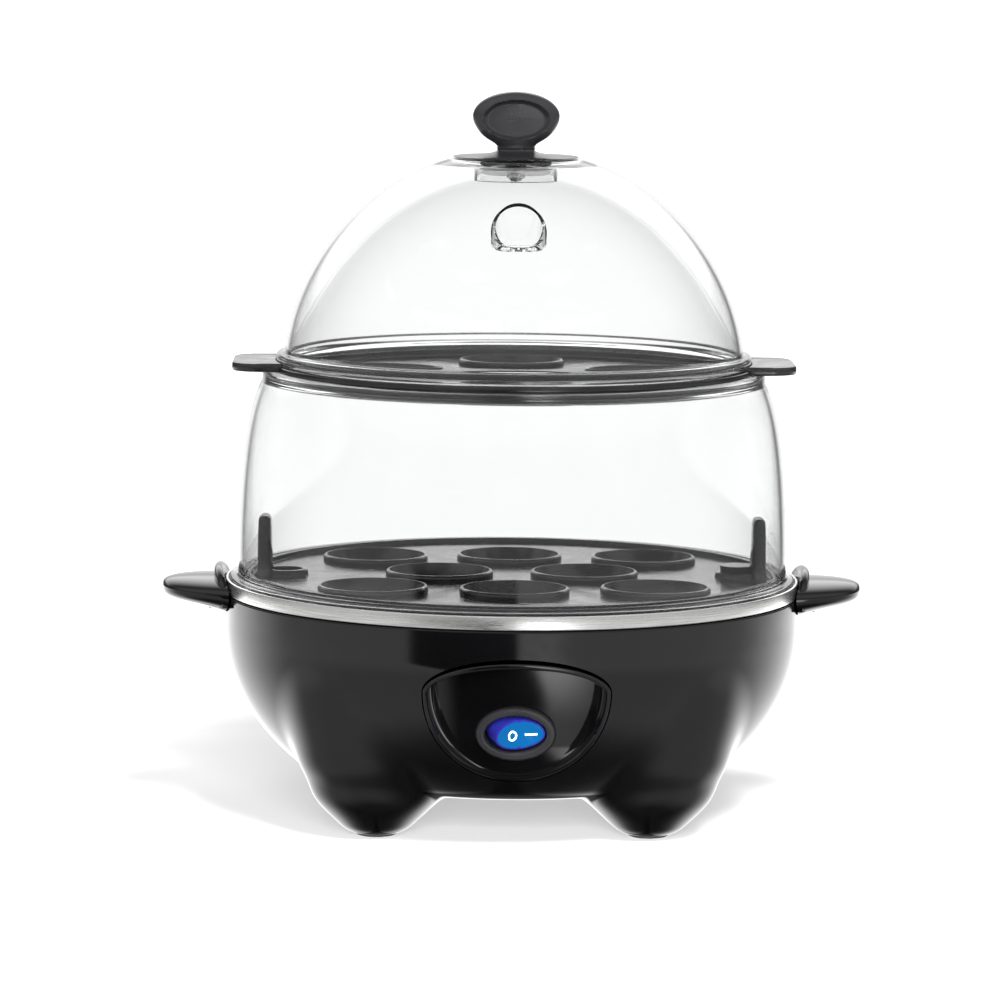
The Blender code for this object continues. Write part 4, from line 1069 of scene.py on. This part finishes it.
# ---- knob

def knob_rings(count=160):
    """Level outlines up the knob: a thin flared foot, a short neck with a ridge, and an oval head."""
    foot = KNOB_FOOT_Z
    levels = [
        (0.0, 20.9, 20.9, 2.0), (0.12, 21.4, 21.4, 2.0), (0.32, 21.5, 21.5, 2.0), (0.55, 20.9, 20.9, 2.0),
        (0.78, 17.5, 16.6, 2.0), (1.0, 13.5, 11.7, 2.1), (1.25, 10.6, 8.3, 2.3), (1.6, 8.4, 6.3, 2.6),
        (2.05, 7.0, 5.1, 2.9), (2.45, 6.45, 4.6, 3.0), (2.8, 6.4, 4.5, 3.0), (3.1, 6.5, 4.85, 3.0),
        (3.4, 6.55, 4.9, 3.0), (3.7, 6.35, 4.5, 2.9),
    ]
    rings = [oval_ring(half_x, half_y, foot + rise, count, power) for rise, half_x, half_y, power in levels]
    middle = KNOB_TOP_Z - 8.4
    heights = (230.6, 231.2, 231.9, 232.9, 233.9, 235.3, 236.9, 239.0, middle)
    half_widths = (6.5, 7.0, 8.0, 9.7, 11.1, 12.5, 13.6, 14.6, 14.85)
    half_depths = (4.5, 4.55, 4.7, 4.9, 5.2, 5.5, 5.8, 6.0, 6.0)
    heads = []
    for height in np.linspace(heights[0], middle, 34):
        heads.append((
            height, smooth_between(height, heights, half_widths), smooth_between(height, heights, half_depths)
        ))
    for angle in np.linspace(0, math.pi / 2, 26)[1:-1]:
        heads.append((middle + 8.4 * math.sin(angle), 14.85 * math.cos(angle), 6.0 * math.cos(angle) ** 0.6))
    for height, half_x, half_y in heads:
        ring = oval_ring(half_x, half_y, height, count)
        reach = np.sqrt((ring[:, 0] / 11.5) ** 2 + ((height - 239.8) / 6.7) ** 2)
        step = 1.9 * np.clip((1.0 - reach) / 0.14, 0.0, 1.0) ** 0.8
        hollow = step + 1.5 * np.clip(1.0 - reach ** 2, 0.0, 1.0)
        room = np.clip(np.abs(ring[:, 1]) - 1.2, 0.0, None)
        ring[:, 1] -= np.sign(ring[:, 1]) * np.minimum(hollow, room)
        rings.append(ring)
    rings.append([(0, 0, KNOB_TOP_Z)])
    return rings


def make_knob():
    foot = KNOB_FOOT_Z
    knob = skin("lift_knob", knob_rings())
    boolean(knob, "DIFFERENCE", rod("knob_cut", 2.0, (0, 0, foot - 2), (0, 0, foot + 6.0), 32))
    show(knob, "lid", satin_black("knob_black"), "lid_knob", slot="satin_black", degrees=50)
    washer = lathe("knob_washer_disc", [
        (2, 222.9, 0.15), (12, 222.9, 0.25), (12, 222.2, 0.25), (2, 222.2, 0.15)
    ], closed=True, count=96)
    show(washer, "lid", satin_black("washer_black"), "knob_washer", slot="satin_black")
    screw = lathe("knob_screw_steel", [
        (0, 234, 0), (1.3, 234, 0.3), (1.6, 233.2, 0.2), (1.6, 221.9, 0.1), (3.2, 221.9, 0.2),
        (3.15, 220.8, 0.5), (2.0, 219.6, 0.6), (0, 219.6, 0),
    ], count=48)
    boolean(screw, "DIFFERENCE", joined("cross_cut", cross_recess(219.4, 220.6)))
    zinc = metal("knob_screw_zinc", (0.58, 0.59, 0.61), 0.26, (0.46, 0.47, 0.49))
    show(screw, "lid", zinc, "knob_screw", slot="zinc_plate")


def cross_recess(low, high, half_length=1.5, half_width=0.32):
    """The cross-shaped recess of a screw's head, as one closed outline."""
    a = half_length
    b = half_width
    outline = [(a, -b), (a, b), (b, b), (b, a), (-b, a), (-b, b)]
    outline += [(-x, -y) for x, y in outline]
    return [skin("cross", [[(x, y, z) for x, y in outline] for z in (low, high)])]


# ---- pieces that keep their CAD shape

def dress_cad_nodes():
    """Give each CAD node that still shows a material of its own."""
    zinc = ((0.58, 0.59, 0.61), 0.28, (0.46, 0.47, 0.49))
    brown = ((0.14, 0.055, 0.02), (0.10, 0.035, 0.012), 0.45)
    blue = ((0.015, 0.06, 0.30), (0.01, 0.04, 0.22), 0.45)
    finishes = {
        "cover_screw": (metal, *zinc),
        "standoff": (metal, (0.60, 0.61, 0.62), 0.30, (0.50, 0.50, 0.52)),
        "side_handle": (metal, *zinc),
        "heater_plate": (metal, (0.56, 0.56, 0.57), 0.48, (0.42, 0.42, 0.43), 700),
        "heating_element": (metal, (0.42, 0.41, 0.40), 0.42, (0.25, 0.23, 0.22), 500),
        "thermostat_clip": (metal, (0.60, 0.60, 0.62), 0.32, (0.48, 0.48, 0.50)),
        "thermostat": (soft_plastic, (0.62, 0.56, 0.44), (0.50, 0.44, 0.34), 0.5),
        "terminal_block": (soft_plastic, (0.70, 0.67, 0.58), (0.60, 0.56, 0.47), 0.5),
        "buzzer": (satin_black, 1400),
        "switch_lamp": (soft_plastic, (0.55, 0.66, 0.85), (0.40, 0.55, 0.80), 0.15),
        "switch_terminal": (metal, (0.72, 0.53, 0.24), 0.28, (0.58, 0.41, 0.17)),
        "thermal_fuse": (woven_sleeve,),
        "element_wire": (woven_sleeve,),
        "feed_wire": (soft_plastic, *brown),
        "live_wire": (soft_plastic, *brown),
        "return_wire": (soft_plastic, *blue),
        "neutral_wire": (soft_plastic, *blue),
    }
    for node, piece in sorted(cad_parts.items()):
        if piece.hide_render:
            continue
        finish, *values = finishes[max((start for start in finishes if node.startswith(start)), key=len)]
        piece.data.materials.clear()
        piece.data.materials.append(finish(node + "_finish", *values))


# ---- stage

FLOOR_HALF = 9.0             # metres, as are the lengths below
LAMP_TARGET = (0, 0, 0.11)
LAMPS = (                    # name, place, size, power in watts
    ("key", (0.42, -1.25, 1.60), 0.45, 66.0),
    ("fill", (-0.05, -2.20, 0.50), 1.0, 120.0),
    ("overhead", (0.0, -0.3, 2.2), 1.4, 10.0),
)
CAMERA_PLACE = (0.0, -1.700, 0.3114)
CAMERA_LENS = 178.4
CAMERA_ORBIT = -1.25         # degrees, as are the angles below
CAMERA_PITCH = 6.81
CAMERA_YAW = 0.14
CAMERA_ROLL = 0.55


def unseen(piece):
    """Hide a piece from reflections and from what the clear plastic lets through."""
    piece.visible_glossy = False
    piece.visible_transmission = False


def make_stage():
    mesh = bpy.data.meshes.new("floor")
    corners = ((-1, -1), (1, -1), (1, 1), (-1, 1))
    mesh.from_pydata([(x * FLOOR_HALF, y * FLOOR_HALF, 0) for x, y in corners], [], [(0, 1, 2, 3)])
    floor = link("floor", mesh)
    surface = Surface("floor_white", (0.55, 0.55, 0.55), 0.9)
    surface.set("Specular IOR Level", 0.1)
    surface.set("Emission Color", (1.0, 1.0, 1.0, 1.0))
    away = surface.nodes.new("ShaderNodeVectorMath")
    away.operation = "LENGTH"
    surface.links.new(surface.place, away.inputs[0])
    surface.drive("Emission Strength", surface.spread(away.outputs["Value"], 0.47, 1.15, 0.30, 1.00))
    floor.data.materials.append(surface.material)
    unseen(floor)
    for name, place, size, power in LAMPS:
        light = bpy.data.lights.new(name, "AREA")
        light.size = size
        light.energy = power
        lamp = bpy.data.objects.new(name, light)
        lamp.location = place
        lamp.rotation_euler = (Vector(LAMP_TARGET) - Vector(place)).to_track_quat("-Z", "Y").to_euler()
        unseen(lamp)
        bpy.context.scene.collection.objects.link(lamp)


def make_world():
    """A white studio. Shiny surfaces see it dimmer in front, with a dark gap left of the middle."""
    world = bpy.data.worlds.new("studio")
    bpy.context.scene.world = world
    world.use_nodes = True
    graph = Graph(world.node_tree)
    graph.nodes.clear()
    calculate = graph.math

    def times(first, second):
        return calculate("MULTIPLY", first, second)

    def greater(first, second):
        return calculate("MAXIMUM", first, second)

    def rest(value):
        return calculate("SUBTRACT", 1.0, value)

    def ramp(source, start, end, low, high):
        return graph.spread(source, low, high, start, end, "SMOOTHSTEP")

    def white():
        node = graph.nodes.new("ShaderNodeBackground")
        node.inputs["Color"].default_value = (1.0, 1.0, 1.0, 1.0)
        return node

    split = graph.nodes.new("ShaderNodeSeparateXYZ")
    graph.links.new(graph.nodes.new("ShaderNodeTexCoord").outputs["Generated"], split.inputs[0])
    x, y, z = split.outputs
    turn = calculate("ARCTAN2", x, times(y, -1.0))
    aside = calculate("ABSOLUTE", turn)

    # walls: bright behind and low down, dimmer in front, dark under the object
    low = ramp(z, -0.140, -0.130, 1.0, 0.0)
    high = rest(low)
    dimmed = rest(times(times(ramp(y, -0.10, 0.50, 0.0, 1.0), high), 0.7))
    beyond = times(ramp(y, 0.10, 0.80, 0.0, 1.35), low)
    tall = times(ramp(y, 0.50, 0.96, 0.0, 2.2), ramp(z, 0.12, 0.35, 0.0, 1.0))
    backdrop = greater(tall, times(ramp(y, 0.90, 0.97, 0.0, 1.0), high))
    level = times(ramp(z, -0.35, -0.16, 0.60, 0.84), ramp(z, -0.138, -0.110, 1.0, 0.55))
    front = times(calculate("ADD", level, ramp(z, 0.20, 0.45, 0.0, 0.35)), dimmed)
    walls = times(calculate("ADD", greater(beyond, backdrop), front), ramp(z, -0.97, -0.70, 0.12, 1.0))
    below = times(ramp(aside, 1.2, 1.8, 0.0, 0.45), ramp(z, -0.86, -0.60, 1.0, 0.0))
    under = times(ramp(aside, 2.90, 3.04, 0.0, 0.92), ramp(z, -0.52, -0.42, 1.0, 0.0))
    walls = times(walls, rest(greater(below, under)))

    # the dark gap, and the bright window at its right
    left_edge = calculate("SUBTRACT", turn, ramp(z, -0.30, -0.15, 0.45, 0.0))
    right_edge = calculate("SUBTRACT", turn, ramp(z, -0.50, -0.19, 0.13, 0.0))
    beside_gap = greater(ramp(left_edge, -0.80, -0.66, 1.0, 0.0), ramp(right_edge, -0.02, 0.06, 0.0, 1.0))
    around_gap = greater(ramp(z, -0.68, -0.50, 1.0, 0.0), ramp(z, -0.11, -0.06, 0.0, 1.0))
    gap = ramp(greater(beside_gap, around_gap), 0.0, 1.0, 0.0, 1.0)
    window = times(ramp(right_edge, 0.02, 0.07, 0.0, 4.0), ramp(turn, 0.20, 0.46, 1.0, 0.0))
    window = times(window, ramp(z, -0.56, -0.30, 0.0, 1.0))
    window = times(window, ramp(z, -0.175, -0.150, 1.0, 0.0))
    studio = white()
    graph.links.new(calculate("ADD", times(walls, gap), window), studio.inputs["Strength"])

    # reflections see the studio; all the rest, and diffuse light most faintly, sees plain white
    plain = white()
    path = graph.nodes.new("ShaderNodeLightPath")
    diffuse = path.outputs["Is Diffuse Ray"]
    graph.links.new(calculate("ADD", times(diffuse, -0.88), 1.10), plain.inputs["Strength"])
    mirrored = times(calculate("MINIMUM", path.outputs["Glossy Depth"], 1.0), rest(diffuse))
    output = graph.nodes.new("ShaderNodeOutputWorld")
    graph.mixed(mirrored, plain.outputs[0], studio.outputs[0], output)


def make_camera():
    data = bpy.data.cameras.new("camera")
    data.lens = CAMERA_LENS
    data.sensor_width = 36.0
    camera = bpy.data.objects.new("camera", data)
    turns = ((CAMERA_ORBIT, "Z"), (90 - CAMERA_PITCH, "X"), (CAMERA_YAW, "Z"), (CAMERA_ROLL, "Z"))
    orbit, pitch, yaw, roll = (Matrix.Rotation(math.radians(degrees), 4, axis) for degrees, axis in turns)
    camera.location = orbit @ Vector(CAMERA_PLACE)
    camera.rotation_euler = (orbit @ yaw @ pitch @ roll).to_euler()
    bpy.context.scene.collection.objects.link(camera)
    bpy.context.scene.camera = camera
    bpy.context.scene.view_settings.view_transform = "Standard"


def main():
    make_camera()
    make_world()
    make_stage()
    make_base_housing()
    make_switch_panel()
    make_switch()
    make_side_handle("right")
    make_side_handle("left")
    make_heating_dish()
    make_feet()
    make_cord_gland()
    make_bottom_cover()
    make_lower_tray()
    make_steam_chamber()
    make_upper_tray()
    make_lid_dome()
    make_knob()
    dress_cad_nodes()


main()
